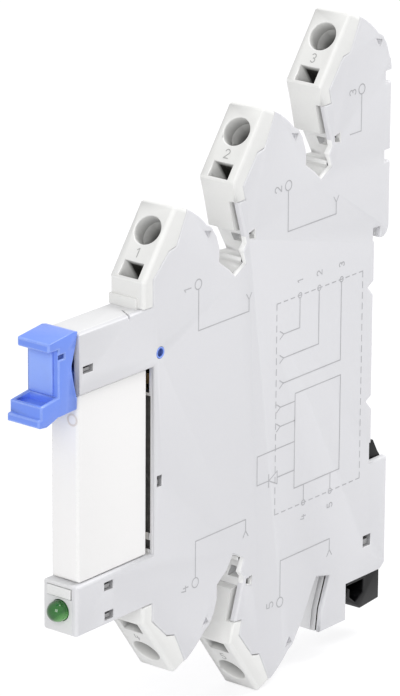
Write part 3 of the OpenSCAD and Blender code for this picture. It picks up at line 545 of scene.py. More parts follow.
@dataclass(frozen=True)
class WoundWire(Finish):
    """Finish of a coil of enamelled wire, with one band for each turn."""

    # groove: colour of the painted shade between the turns
    groove: Colour
    pitch: float = 0.12 * MM
    turns: float = 0.314
    distortion: float = 0.6
    shine: float = 0.9
    wire_depth: float = 0.03 * MM
    wire_bump: float = 0.8

    def paint(self, w: Surface) -> None:
        """Wires a material as wound wire.

        Args:
            w: Wiring of the material.
        """
        inputs = {"Vector": w.places(), "Scale": self.turns / self.pitch, "Distortion": self.distortion}
        bands = w.node(
            "ShaderNodeTexWave", inputs, wave_type="BANDS", bands_direction="Z", wave_profile="SIN")
        wave = bands.outputs["Fac"]
        tone = w.noise(600.0)
        # Painted shade in the grooves between the turns, varied by a slow tone.
        groove = w.spread(wave, low=0.0, high=0.5, new_low=1.0, new_high=0.0)
        share = w.times(groove, w.spread(tone, low=0.2, high=0.8, new_low=0.6))
        rough = w.spread(tone, low=0.3, high=0.7, new_low=0.22, new_high=0.38)
        colour = w.blend(share, self.colour, self.groove)
        w.wire(w.shader, {"Base Color": colour, "Roughness": rough, "Metallic": self.shine})
        w.bump(wave, self.wire_depth, self.wire_bump)


@dataclass(frozen=True)
class BoardLaminate(Finish):
    """Finish of the lacquered circuit board, with its tracks under the lacquer."""

    track: Colour
    track_pitch: float = 1.6 * MM
    track_gap: float = 0.035
    track_depth: float = 0.02 * MM
    bricks_in_scale: float = 0.25
    second_tone: float = 1.15
    weave: float = 0.3 * MM
    weave_share: float = 0.2
    weave_tone: float = 0.5

    def paint(self, w: Surface) -> None:
        """Wires a material as laminate.

        Args:
            w: Wiring of the material.
        """
        turn = (0.0, math.radians(90), 0.0)
        turned = w.node("ShaderNodeMapping", {"Vector": w.places(), "Rotation": turn}).outputs[0]
        second = toned(self.colour, self.second_tone)
        bricks = w.node("ShaderNodeTexBrick", {
            "Vector": turned, "Scale": self.bricks_in_scale / self.track_pitch, "Mortar Size": self.track_gap,
            "Color1": self.colour, "Color2": second, "Mortar": self.track}).outputs
        grain = w.effect("mould_grain", size=self.weave)
        hollow = toned(self.colour, self.weave_tone)
        colour = w.blend(w.times(grain["Hollows"], self.weave_share), bricks["Color"], hollow)
        rough = w.spread(grain["Height"], low=0.3, high=0.7, new_low=0.25, new_high=0.4)
        w.wire(w.shader, {"Base Color": colour, "Roughness": rough})
        w.bump(bricks["Fac"], self.track_depth)


@dataclass(frozen=True)
class PrintInk(Finish):
    """Finish of the thin printed lines and numbers."""

    thin: Colour
    film: float = 0.003 * MM

    def paint(self, w: Surface) -> None:
        """Wires a material as ink.

        Args:
            w: Wiring of the material.
        """
        cover = w.noise(7000.0, detail=3.0, rough=0.7)
        wear_and_highlight = w.spread(w.noise(260.0), low=0.4, high=0.7, new_high=0.35)
        share = w.plus(w.spread(cover, low=0.45, high=0.75, new_high=0.5), wear_and_highlight, clamp=True)
        rough = w.spread(cover, low=0.2, high=0.8, new_low=0.5, new_high=0.7)
        w.wire(w.shader, {"Base Color": w.blend(share, self.colour, self.thin), "Roughness": rough})
        w.bump(cover, self.film)


# Colour of the painted highlight on rounded white edges.
WHITE_EDGE = shade(246, 246, 244)


@dataclass(frozen=True)
class FinishBook:
    """Every finish of the module."""

    tray: Finish = MouldedPlastic("tray_grey", Slot.TRAY, shade(222, 222, 223), WHITE_EDGE, 0.5)
    cover: Finish = MouldedPlastic("cover_grey", Slot.COVER, shade(221, 221, 224), shade(238, 238, 240), 0.5)
    head: Finish = MouldedPlastic(
        "head_white", Slot.HEAD, shade(232, 232, 230), shade(250, 250, 248), 0.4, drift=0.01)
    relay: Finish = MouldedPlastic(
        "relay_white", Slot.RELAY, shade(244, 243, 242), WHITE_EDGE, 0.28,
        grain_depth=0.002 * MM, drift=0.008, coat=0.35)
    # The lever's dark blue is painted shade in its notch and in the pivot's cup.
    ejector: Finish = MouldedPlastic(
        "ejector_blue", Slot.EJECTOR, shade(112, 146, 240), shade(164, 190, 252), 0.3,
        drift=0.05, edge_share=0.6, dark=(0.004, 0.012, 0.09))
    # A lighter copy of the lever's blue on the grip panel: painted light.
    ejector_panel: Finish = MouldedPlastic(
        "ejector_panel", Slot.EJECTOR, shade(146, 176, 250), shade(180, 202, 254), 0.3,
        drift=0.06, edge_share=0.5)
    latch: Finish = MouldedPlastic(
        "latch_black", Slot.LATCH, shade(6, 6, 8), shade(40, 40, 44), 0.34,
        drift=0.05, edge_share=0.3, specular=0.25)
    marker: Finish = MouldedPlastic(
        "marker_white", Slot.MARKER, shade(231, 231, 230), WHITE_EDGE, 0.25, grain_depth=0.002 * MM, coat=0.4)
    # The lens's deep green is swirls of tint and painted shade at its rim; its light green is painted light
    # on its lower right.
    lens: Finish = LampLens(
        "lens_green", Slot.LENS, shade(26, 116, 28), shade(4, 34, 8), shade(124, 214, 104), -23.0 * MM)
    spring: Finish = SheetMetal("spring_bright", Slot.SPRING, shade(196, 197, 200), shade(138, 136, 134))
    copper: Finish = SheetMetal("bar_tinned", Slot.COPPER, shade(206, 200, 190), shade(150, 138, 120), 0.34)
    contact: Finish = SheetMetal(
        "contact_gilt", Slot.CONTACT, shade(214, 184, 128), shade(150, 110, 66), 0.28)
    iron: Finish = SheetMetal("iron_nickel", Slot.IRON, shade(168, 168, 172), shade(110, 108, 106), 0.38)
    # The winding's dark red is painted shade between its turns.
    winding: Finish = WoundWire("winding_red", Slot.WINDING, shade(196, 110, 62), shade(84, 36, 18))
    coil: Finish = MouldedPlastic("coil_ivory", Slot.COIL, shade(222, 210, 178), shade(236, 228, 206), 0.45)
    board: Finish = BoardLaminate("board_green", Slot.BOARD, shade(30, 110, 66), shade(72, 146, 84))
    component: Finish = MouldedPlastic(
        "component_black", Slot.COMPONENT, shade(44, 44, 48), shade(84, 84, 88), 0.42)
    varistor: Finish = MouldedPlastic(
        "varistor_dip", Slot.VARISTOR, shade(44, 84, 160), shade(90, 126, 190), 0.22, coat=0.5)
    ink: Finish = PrintInk("print_grey", Slot.COVER, shade(176, 176, 179), shade(202, 202, 205))
    head_ink: Finish = PrintInk("head_print", Slot.HEAD, shade(170, 170, 169), shade(196, 196, 194))
    relay_ink: Finish = PrintInk("relay_print", Slot.RELAY, shade(222, 214, 206), shade(236, 232, 226))


class Workshop:
    """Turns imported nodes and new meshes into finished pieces."""

    widest = 1.0 * MM
    least_radius = 0.03 * MM
    room_share = 0.44

    def __init__(self) -> None:
        """Starts with no materials made."""
        self.effects = Effects()
        self.book = FinishBook()
        self.made: dict[str, bpy.types.Material] = {}

    def material(self, finish: Finish) -> bpy.types.Material:
        """Finds the material of a finish, and makes it the first time.

        Args:
            finish: The finish.

        Returns:
            Its material.
        """
        if finish.name not in self.made:
            surface = Surface(finish.name, self.effects)
            finish.paint(surface)
            self.made[finish.name] = surface.material
        return self.made[finish.name]

    def copy_of(self, node: str) -> BMesh:
        """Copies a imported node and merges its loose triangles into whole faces.

        Args:
            node: Name of the node.

        Returns:
            The merged copy.
        """
        bm = bmesh.new()
        bm.from_mesh(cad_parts[node].data)
        bmesh.ops.remove_doubles(bm, verts=bm.verts, dist=0.001 * MM)
        bmesh.ops.dissolve_limit(bm, angle_limit=math.radians(0.6), verts=bm.verts, edges=bm.edges)
        return bm

    def _neighbours(self, edge: BMEdge) -> list[tuple[BMEdge, bool]]:
        """Finds the edges that meet an edge at its ends.

        Args:
            edge: The edge.

        Returns:
            Each other edge, and whether the edge runs on into it.
        """
        found = []
        for vert in edge.verts:
            along = (edge.other_vert(vert).co - vert.co).normalized()
            for other in vert.link_edges:
                if other is not edge:
                    away = (other.other_vert(vert).co - vert.co).normalized()
                    found.append((other, along.dot(away) < RUNS_ON))
        return found

    def _room(self, edge: BMEdge, solid: BVHTree) -> float:
        """Radius that fits at an edge, beside the edges that meet it and on the faces that it parts.

        Args:
            edge: The edge to round.
            solid: Tree of the solid's faces.

        Returns:
            The widest radius that leaves the neighbouring roundings their place.
        """
        meeting = [other.calc_length() for other, runs_on in self._neighbours(edge) if not runs_on]
        room = min([edge.calc_length() * 2, *meeting])
        for loop in edge.link_loops:
            first, last = loop.vert.co, loop.link_loop_next.vert.co
            inward = loop.face.normal.cross(last - first).normalized()
            for share in (0.1, 0.5, 0.9):
                start = first.lerp(last, share) - loop.face.normal * NEAR + inward * NEAR
                distance = solid.ray_cast(start, inward)[3]
                room = min(room, distance or room)
        return self.room_share * room

    def _level(self, radii: dict[BMEdge, float]) -> None:
        """Gives edges that run on into each other the smallest of their radii.

        Args:
            radii: Radius of each edge, changed in place.
        """
        changed = True
        while changed:
            changed = False
            for edge, radius in radii.items():
                for other, runs_on in self._neighbours(edge):
                    if runs_on and radii.get(other, 0.0) > radius:
                        radii[other] = radius
                        changed = True

    def mark_faces(self, bm: BMesh, name: str, share_of: FaceRule) -> None:
        """Notes a share on each face for the materials to read.

        Args:
            bm: Mesh whose faces get the mark.
            name: Name of the mark, deep_face for painted shade or pale_face for whiter plastic with painted
                light.
            share_of: Gives the share of a face, from 0 to 1.
        """
        layer = bm.faces.layers.float.new(name)
        for face in bm.faces:
            face[layer] = share_of(face)

    def _bevelled(self, bm: BMesh, segments: int) -> Mesh:
        """Rounds the edges of a mesh by their weights.

        Args:
            bm: The mesh, which is used up.
            segments: Faces across each rounding.

        Returns:
            The rounded mesh, with material 1 on its roundings.
        """
        rough = bpy.data.meshes.new("blank")
        bm.to_mesh(rough)
        bm.free()
        rough.materials.append(None)
        rough.materials.append(None)
        blank = put("blank", rough)
        bevel = blank.modifiers.new("round", "BEVEL")
        bevel.affect = "EDGES"
        bevel.limit_method = "WEIGHT"
        bevel.offset_type = "OFFSET"
        bevel.width = self.widest
        bevel.segments = segments
        bevel.profile = 0.5
        bevel.material = 1
        bevel.use_clamp_overlap = False
        bevel.harden_normals = True
        bevel.loop_slide = True
        ready = blank.evaluated_get(bpy.context.evaluated_depsgraph_get())
        done = bpy.data.meshes.new_from_object(ready)
        bpy.data.objects.remove(blank)
        return done

    def rounded(self, bm: BMesh, radius_of: RadiusRule, segments: int = 3) -> Mesh:
        """Rounds chosen edges of a mesh, each with its own radius.

        Args:
            bm: The mesh, which is used up.
            radius_of: Gives the wanted radius of a sharp outer edge.
            segments: Faces across each rounding.

        Returns:
            A mesh with smooth shading, sharp edges marked and the roundings masked.
        """
        solid = BVHTree.FromBMesh(bm)
        layer = bm.edges.layers.float.new("bevel_weight_edge")
        for face in bm.faces:
            face.smooth = True
        radii = {}
        for edge in bm.edges:
            if not edge.is_manifold or edge.calc_face_angle(0.0) < SHARP:
                continue
            edge.smooth = False
            radius = min(radius_of(edge), self._room(edge, solid)) if edge.is_convex else 0.0
            if radius > self.least_radius:
                radii[edge] = radius
        self._level(radii)
        for edge, radius in radii.items():
            edge.smooth = True
            edge[layer] = min(1.0, radius / self.widest)
        done = self._bevelled(bm, segments)
        mask = done.attributes.new("edge_mask", "FLOAT", "FACE")
        deep = done.attributes.get("deep_face")
        for face in done.polygons:
            at_edge = face.material_index == 1
            mask.data[face.index].value = float(at_edge)
            # Painted shade stays off the roundings.
            if deep and at_edge:
                deep.data[face.index].value = 0.0
            face.material_index = 0
        done.materials.clear()
        return done

    def smooth_mesh(self, bm: BMesh, angle: float = 35.0) -> Mesh:
        """Makes a mesh of a finished bmesh, smooth but for edges sharper than an angle.

        Args:
            bm: The bmesh, which is used up.
            angle: Angle in degrees.

        Returns:
            The mesh.
        """
        for face in bm.faces:
            face.smooth = True
        for edge in bm.edges:
            edge.smooth = edge.calc_face_angle(0.0) < math.radians(angle)
        mesh = bpy.data.meshes.new("piece")
        bm.to_mesh(mesh)
        bm.free()
        return mesh

    def piece(
        self, name: str, mesh: Mesh, finish: Finish, body: Body = Body.MODULE, stands_for: Sequence[str] = ()
    ) -> bpy.types.Object:
        """Puts a finished mesh into the scene.

        Args:
            name: Name of the piece.
            mesh: Its mesh, in place.
            finish: Its finish.
            body: The body that it rides on.
            stands_for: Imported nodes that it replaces.

        Returns:
            The piece.
        """
        mesh.name = name
        mesh.materials.append(self.material(finish))
        made = put(name, mesh)
        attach(made, body.value)
        if stands_for:
            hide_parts(*stands_for)
        LOG.info("piece %s: %d faces on %s", name, len(mesh.polygons), body.value)
        return made

    def dressed(
        self, node: str, bm: BMesh, radius_of: RadiusRule, finish: Finish, body: Body = Body.MODULE,
        segments: int = 3
    ) -> None:
        """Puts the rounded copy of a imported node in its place."""
        self.piece(f"{node}_dressed", self.rounded(bm, radius_of, segments), finish, body, [node])

    def dress(self, finish: Finish, *nodes: str) -> None:
        """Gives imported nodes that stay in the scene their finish.

        Args:
            finish: The finish.
            nodes: Names of the nodes.
        """
        for name in nodes:
            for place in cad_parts[name].material_slots:
                place.material = self.material(finish)
            LOG.info("node %s: %s", name, finish.name)


@dataclass(frozen=True)
class Terminal:
    """Place of one terminal: front lower corner of its slanted face, and its side of the rail."""

    key: str
    number: str
    front: float
    height: float
    side: int
    tilt: float = math.radians(36)

    def local(self, point: Vector) -> Span:
        """Place of a point as seen from the face.

        Args:
            point: The point, in metres.

        Returns:
            Its depth behind the face and its way up the face.
        """
        cos, sin = math.cos(self.tilt), math.sin(self.tilt)
        y = point.y - self.front * MM
        z = (point.z - self.height * MM) * self.side
        return (y * cos - z * sin, y * sin + z * cos)

    def at(self, across: float, depth: float, up: float) -> Vector:
        """Point of the part at a place across, behind and up the face.

        Args:
            across: Place along X.
            depth: Depth behind the face.
            up: Way up the face from its corner.

        Returns:
            The point, in metres.
        """
        cos, sin = math.cos(self.tilt), math.sin(self.tilt)
        rise = self.side * (up * cos - depth * sin)
        return Vector((across, self.front * MM + depth * cos + up * sin, self.height * MM + rise))

    def on_face(self, across: float, up: float, out: float) -> Matrix:
        """Frame of a mark on the face, read upright from the front.

        Args:
            across: Place along X, in metres.
            up: Way up the face from its corner, in metres.
            out: Height above the face, in metres.

        Returns:
            A matrix with X to the right, Y up the face and Z out of it.
        """
        cos, sin = math.cos(self.tilt), math.sin(self.tilt)
        up_way = Vector((0.0, sin * self.side, cos))
        out_way = Vector((0.0, -cos, sin * self.side))
        foot = Vector((across, self.front * MM + up * sin, self.height * MM + self.side * up * cos))
        return axes(Vector((1.0, 0.0, 0.0)), up_way, out_way, foot + out_way * out)


TERMINALS = (
    Terminal("14", "1", -54.0, 22.5, 1),
    Terminal("11", "2", -34.0, 32.5, 1),
    Terminal("12", "3", -14.0, 42.5, 1),
    Terminal("a1", "4", -54.0, -29.1, -1),
    Terminal("a2", "5", -34.0, -38.4, -1),
)


def block(low: Vector, high: Vector) -> BMesh:
    """Block between two corners.

    Args:
        low: Its lowest corner.
        high: Its highest corner.

    Returns:
        The mesh.
    """
    bm = bmesh.new()
    place = Matrix.Translation((low + high) / 2) @ Matrix.Diagonal((*(high - low), 1.0))
    bmesh.ops.create_cube(bm, size=1.0, matrix=place)
    return bm


def stroke(bm: BMesh, start: Sequence[float], end: Sequence[float], width: float, matrix: Matrix) -> None:
    """Adds one straight flat stroke with square ends, a trace above or below its neighbours.

    Args:
        bm: Mesh that takes it.
        start: First end in the stroke's plane, in metres.
        end: Other end.
        width: Width of the stroke, in metres.
        matrix: Frame of the plane, with X to the right and Y up.
    """
    way = Vector((end[0] - start[0], end[1] - start[1]))
    turn = Matrix.Rotation(math.atan2(way.y, way.x), 4, "Z")
    level = width * STROKE_LEVEL * (len(bm.faces) % STROKE_LEVELS)
    middle = Matrix.Translation(((start[0] + end[0]) / 2, (start[1] + end[1]) / 2, level))
    size = Matrix.Diagonal((way.length + width * 0.7, width, 1.0, 1.0))
    bmesh.ops.create_grid(bm, x_segments=1, y_segments=1, size=0.5, matrix=matrix @ middle @ turn @ size)


def stroke_path(bm: BMesh, points: Sequence[Sequence[float]], width: float, matrix: Matrix) -> None:
    """Adds strokes from point to point."""
    for start, end in zip(points, points[1:]):
        stroke(bm, start, end, width, matrix)


def arc(centre: Span, radius: float, first: float, last: float, steps: int = 10) -> list[Span]:
    """Points of an arc between two angles in degrees."""
    angles = [math.radians(first + (last - first) * step / steps) for step in range(steps + 1)]
    return [(centre[0] + radius * math.cos(angle), centre[1] + radius * math.sin(angle)) for angle in angles]


DIGITS: dict[str, list[list[Span]]] = {
    "1": [[(-0.2, 0.3), (0.04, 0.5), (0.04, -0.5)]],
    "2": [arc((0.0, 0.22), 0.28, 165, -40) + [(-0.28, -0.5), (0.28, -0.5)]],
    "3": [arc((0.0, 0.24), 0.26, 150, -90, 9), arc((0.0, -0.24), 0.26, 90, -150, 9)],
    "4": [[(-0.18, 0.5), (-0.27, -0.12), (0.28, -0.12)], [(0.1, 0.26), (0.1, -0.5)]],
    "5": [[(0.25, 0.5), (-0.2, 0.5), (-0.23, 0.08)] + arc((0.0, -0.2), 0.3, 125, -150, 12)],
}


def stroke_number(text: str, height: float, width: float, matrix: Matrix) -> BMesh:
    """Plain number of flat strokes.

    Args:
        text: One digit from 1 to 5.
        height: Height of the digit, in metres.
        width: Width of a stroke, in metres.
        matrix: Frame of the number about its centre, with X to the right and Y up.

    Returns:
        The mesh.
    """
    bm = bmesh.new()
    for points in DIGITS[text]:
        stroke_path(bm, [(x * height, y * height) for x, y in points], width, matrix)
    return bm


def lathe(profile: Sequence[Span], matrix: Matrix, steps: int = 48) -> BMesh:
    """Turned shape from a profile of radius and height about Z.

    Args:
        profile: Points of radius and height, in metres.
        matrix: Where the shape goes.
        steps: Faces round it.

    Returns:
        The closed mesh, with its faces outward.
    """
    bm = bmesh.new()
    verts = [bm.verts.new((radius, 0.0, height)) for radius, height in profile]
    edges = [bm.edges.new(pair) for pair in zip(verts, verts[1:])]
    bmesh.ops.spin(
        bm, geom=verts + edges, cent=(0, 0, 0), axis=(0, 0, 1), angle=math.tau, steps=steps,
        use_merge=True, use_duplicate=False)
    bmesh.ops.remove_doubles(bm, verts=bm.verts, dist=0.002 * MM)
    bmesh.ops.recalc_face_normals(bm, faces=bm.faces)
    bmesh.ops.transform(bm, matrix=matrix, verts=bm.verts)
    return bm


@dataclass
class Housing:
    """Tray and side cover, with the edges of their outline rounded."""

    shop: Workshop
    side: float = 3.1 * MM
    seam: float = 2.1 * MM
    arm_end: float = -51.5 * MM
    lamp_arm_top: float = -18.9 * MM
    bay_back: float = -51.6 * MM
    bay_top: float = 9.5 * MM
    soft_radius: float = 0.7 * MM
    arm_radius: float = 0.55 * MM
    outline_radius: float = 0.3 * MM
    bay_radius: float = 0.15 * MM
    notch_radius: float = 0.15 * MM
    seam_radius: float = 0.09 * MM
    opening_radius: float = 0.12 * MM
    opening_slack: float = 0.3
    openings: tuple[tuple[float, float, float, float], ...] = (
        (-67.2, 12.5, 2.2, 1.1), (-62.6, -21.3, 1.9, 1.3), (-62.5, -25.8, 1.9, 1.3),
        (-50.9, -8.9, 1.1, 1.7), (-1.5, -32.7, 1.9, 1.8), (-51.3, 10.2, 2.2, 2.2))
    crown_up: float = 11.6 * MM
    crown_depth: float = 7.9 * MM
    shoulder_up: float = 10.5 * MM
    shoulder_depth: float = 11.2 * MM
    arm_start: float = 1.0 * MM
    edge_slack: float = 0.2 * MM
    bay_slack: float = 0.3 * MM
    across_share: float = 0.5
    wall_length: float = 0.9 * MM
    wall_depth: Span = (6.0 * MM, 14.0 * MM)
    wall_up: Span = (-13.0 * MM, 0.5 * MM)
    valley_depth: Span = (9.3 * MM, 13.2 * MM)
    valley_up: Span = (-11.0 * MM, -4.5 * MM)
    foot_slot_y: Span = (-13.0 * MM, -8.6 * MM)
    foot_slot_z: Span = (-43.6 * MM, -34.6 * MM)
    seam_slot: float = 0.17 * MM
    slit_reach: float = 0.75 * MM
    # Shares of painted shade in the slit behind the relay, in the windows and on their floors.
    slit_dusk: float = 0.93
    window_dusk: float = 0.55
    window_floor_dusk: float = 0.4

    def _in_slot(self, point: Vector) -> bool:
        """Whether a point of the seam lies in a valley or at the foot, where the seam stands open.

        Args:
            point: The point.

        Returns:
            True where it stands open.
        """
        if within(point.y, self.foot_slot_y) and within(point.z, self.foot_slot_z):
            return True
        places = [terminal.local(point) for terminal in TERMINALS if terminal.key != "14"]
        return any(within(depth, self.valley_depth) and within(up, self.valley_up) for depth, up in places)

    def _in_opening(self, point: Vector) -> bool:
        """Whether a point is at the rim of a window or of the pivot hole.

        Args:
            point: The point.

        Returns:
            True at a rim or inside it.
        """
        y, z, slack = point.y / MM, point.z / MM, self.opening_slack
        return any(
            a - slack < y < a + width + slack and b - slack < z < b + height + slack
            for a, b, width, height in self.openings)

    def open_seam(self, bm: BMesh) -> None:
        """Draws the cover's inner edge back where its seam with the tray stands open.

        Args:
            bm: Copy of the cover, changed in place.
        """
        for vert in bm.verts:
            if abs(vert.co.x - self.seam) < NEAR and self._in_slot(vert.co):
                vert.co.x += self.seam_slot

    def depth_of(self, face: BMFace) -> float:
        """How much painted shade a face gets in a window, a side hole, the seam or the slit behind the relay.

        Args:
            face: The face.

        Returns:
            Its share of painted shade, from 0 to 1.
        """
        middle = face.calc_center_median()
        if abs(middle.x - self.seam) < NEAR + self.seam_slot and abs(face.normal.x) > 0.9:
            return 1.0
        if self._in_opening(middle) and within(middle.x, (self.seam - NEAR, self.side - NEAR)):
            return self.window_dusk if abs(face.normal.x) < 0.9 else self.window_floor_dusk
        in_bay = within(middle.z, (self.lamp_arm_top, self.bay_top)) and abs(middle.x) < self.side - NEAR
        return self.slit_dusk if in_bay and within(middle.y - self.bay_back, (NEAR, self.slit_reach)) else 0.0

    def pale_of(self, face: BMFace) -> float:
        """How white a face is: the walls between the terminals get whiter plastic and painted light that
        lifts their shade.

        Args:
            face: The face.

        Returns:
            Its share of white, from 0 to 1.
        """
        if abs(face.normal.x) > 0.5:
            return 0.0
        middle = face.calc_center_median()
        places = [terminal.local(middle) for terminal in TERMINALS if terminal.key not in ("14", "a1")]
        return float(any(within(depth, self.wall_depth) and within(up, self.wall_up) for depth, up in places))

    def outline_rule(self, point: Vector) -> float:
        """Radius of the outline's edge at a point of it.

        Args:
            point: The point.

        Returns:
            The radius, in metres.
        """
        for terminal in TERMINALS:
            depth, up = terminal.local(point)
            if up > self.crown_up and depth < self.crown_depth:
                return self.soft_radius
            if up > self.shoulder_up and depth < self.shoulder_depth:
                return self.notch_radius
        if point.y < self.bay_back - self.arm_start and abs(point.z - self.lamp_arm_top) < self.edge_slack:
            return self.arm_radius
        beside_bay = within(point.z, (self.lamp_arm_top, self.bay_top + self.edge_slack))
        if beside_bay and point.y < self.bay_back + self.bay_slack:
            return self.bay_radius
        if point.y < self.arm_end and not self.lamp_arm_top <= point.z <= self.bay_top:
            return self.arm_radius
        return self.outline_radius

    def radius_of(self, edge: BMEdge) -> float:
        """Radius of one edge of the tray or the cover.

        Args:
            edge: The edge.

        Returns:
            Its radius, in metres, or 0 for a sharp edge.
        """
        first, last = (vert.co for vert in edge.verts)
        middle = (first + last) / 2
        across = abs(first.x - last.x) > NEAR
        outer = [abs(abs(vert.co.x) - self.side) < NEAR for vert in edge.verts]
        if self._in_opening(middle) and not across:
            return self.opening_radius if all(outer) else 0.0
        if all(outer) and not across:
            return self.outline_rule(middle)
        if across and any(outer) and edge.calc_length() > self.wall_length:
            radius = self.outline_rule(middle)
            sharp = self._in_opening(middle) or radius == self.notch_radius
            return 0.0 if sharp else self.across_share * radius
        on_seam = all(-NEAR < vert.co.x - self.seam < NEAR + self.seam_slot for vert in edge.verts)
        reach = max(abs(vert.co.x) for face in edge.link_faces for vert in face.verts)
        upright = any(abs(face.normal.x) < 0.1 for face in edge.link_faces)
        return self.seam_radius if on_seam and upright and reach > self.side - NEAR else 0.0

    def build(self) -> None:
        """Makes the dressed tray and cover."""
        book = self.shop.book
        for node, finish in (("housing_tray", book.tray), ("side_cover", book.cover)):
            bm = self.shop.copy_of(node)
            if node == "side_cover":
                self.open_seam(bm)
            self.shop.mark_faces(bm, "deep_face", self.depth_of)
            self.shop.mark_faces(bm, "pale_face", self.pale_of)
            self.shop.dressed(node, bm, self.radius_of, finish)


@dataclass
class TerminalHeads:
    """The five white terminal heads with their soft edges and numbers."""

    shop: Workshop
    side: float = 3.1 * MM
    wide: float = 4.0 * MM
    edge_radius: float = 0.65 * MM
    apron_radius: float = 0.5 * MM
    foot_radius: float = 0.25 * MM
    foot_up: float = 1.0 * MM
    bore_radius: float = 0.2 * MM
    bore_up: float = 4.0 * MM
    # bore_dusk and way_dusk: depths at which the painted shade in the wire entry and the release way is full
    bore_dusk: float = 5.4 * MM
    way_radius: float = 0.12 * MM
    way_dusk: float = 1.8 * MM
    way_up: Span = (0.6 * MM, 3.6 * MM)
    hole_half: float = 2.25 * MM
    seam_radius: float = 0.08 * MM
    seam_gap: float = 0.08 * MM
    funnel_depth: float = 2.5 * MM
    funnel_radius: float = 2.19 * MM
    funnel_slack: float = 0.1 * MM
    lip_low: Sequence[float] = (-3.08 * MM, -54.42 * MM, 18.44 * MM)
    lip_high: Sequence[float] = (2.0 * MM, -53.8 * MM, 20.1 * MM)
    lip_radius: float = 0.2 * MM
    crown_low: float = 11.9 * MM
    number_up: float = 4.15 * MM
    number_height: float = 1.35 * MM
    number_line: float = 0.17 * MM

    def radius_of(self, terminal: Terminal, edge: BMEdge) -> float:
        """Radius of one edge of a head.

        Args:
            terminal: The terminal that the head belongs to.
            edge: The edge.

        Returns:
            Its radius, in metres, or 0 for a sharp edge.
        """
        places = [terminal.local(vert.co) for vert in edge.verts]
        at_front = [abs(depth) < NEAR for depth, _ in places]
        outer = all(abs(abs(vert.co.x) - self.side) < NEAR for vert in edge.verts)
        across = abs(edge.verts[0].co.x - edge.verts[1].co.x) > self.wide
        if outer and not across:
            if all(at_front) or all(up > self.crown_low for _, up in places):
                return self.edge_radius
            return self.apron_radius if any(at_front) else self.seam_radius
        if across and all(at_front):
            return self.foot_radius if all(up < self.foot_up for _, up in places) else self.apron_radius
        if across:
            return self.seam_radius
        if all(at_front):
            return self.bore_radius if any(up > self.bore_up for _, up in places) else self.way_radius
        return 0.0

    def open_seam(self, bm: BMesh, terminal: Terminal) -> None:
        """Draws a head back from the tray and the cover, so that its parting line is a real gap.

        Args:
            bm: Copy of the head, changed in place.
            terminal: The terminal that it belongs to.
        """
        pushes: dict[BMVert, Vector] = {}
        for face in bm.faces:
            places = [terminal.local(vert.co) for vert in face.verts]
            at_side = any(abs(abs(vert.co.x) - self.side) < NEAR for vert in face.verts)
            at_front = any(abs(depth) < NEAR for depth, _ in places)
            at_crown = all(up > self.crown_low for _, up in places)
            if abs(face.normal.x) > 0.1 or not at_side or at_front or at_crown:
                continue
            for vert in face.verts:
                pushes[vert] = pushes.get(vert, Vector()) + face.normal
        for vert, push in pushes.items():
            vert.co -= push.normalized() * self.seam_gap

    def smooth_funnel(self, bm: BMesh, terminal: Terminal) -> None:
        """Widens the funnel behind a wire entry up to the bore, so that no ledge is left.

        Args:
            bm: Copy of the head, changed in place.
            terminal: The terminal that it belongs to.
        """
        ring = []
        for vert in bm.verts:
            depth, up = terminal.local(vert.co)
            at_funnel = abs(vert.co.x) < self.hole_half and abs(depth - self.funnel_depth) < NEAR
            if at_funnel and up > self.way_up[1]:
                ring.append(vert)
        if not ring:
            return
        centre = sum(terminal.local(vert.co)[1] for vert in ring) / len(ring)
        for vert in ring:
            depth, up = terminal.local(vert.co)
            radius = math.hypot(vert.co.x, up - centre)
            if radius < self.funnel_radius - self.funnel_slack:
                grow = self.funnel_radius / radius
                vert.co = terminal.at(vert.co.x * grow, depth, centre + (up - centre) * grow)

    def mark_holes(self, bm: BMesh, terminal: Terminal) -> None:
        """Notes on each point how deep in the wire entry or the release way it lies, over 1 far down, for the
        painted shade in the holes.

        Args:
            bm: Copy of the head.
            terminal: The terminal that it belongs to.
        """
        way_low, way_high = self.way_up
        layer = bm.verts.layers.float.new("deep_point")
        for vert in bm.verts:
            depth, up = terminal.local(vert.co)
            if abs(vert.co.x) < self.hole_half and depth > NEAR and up > way_low:
                vert[layer] = depth / (self.way_dusk if up < way_high else self.bore_dusk)

    def foot_lip(self) -> Mesh:
        """Makes the low lip at the foot of the head that stands on the upper arm.

        Returns:
            Its mesh.
        """
        bm = block(Vector(self.lip_low), Vector(self.lip_high))
        bmesh.ops.bevel(
            bm, geom=list(bm.edges), affect="EDGES", offset=self.lip_radius, segments=3, profile=0.5,
            material=-1)
        bmesh.ops.recalc_face_normals(bm, faces=bm.faces)
        return self.shop.smooth_mesh(bm, 60)

    def build(self) -> None:
        """Makes the heads and the number on each."""
        book = self.shop.book
        self.shop.piece("terminal_foot_lip", self.foot_lip(), book.head)
        for terminal in TERMINALS:
            node = f"terminal_head_{terminal.key}"
            bm = self.shop.copy_of(node)
            self.open_seam(bm, terminal)
            self.smooth_funnel(bm, terminal)
            self.mark_holes(bm, terminal)
            self.shop.dressed(node, bm, partial(self.radius_of, terminal), book.head, segments=4)
            matrix = terminal.on_face(0.0, self.number_up, PRINT_LIFT)
            number = stroke_number(terminal.number, self.number_height, self.number_line, matrix)
            self.shop.piece(f"head_number_{terminal.number}", self.shop.smooth_mesh(number), book.head_ink)


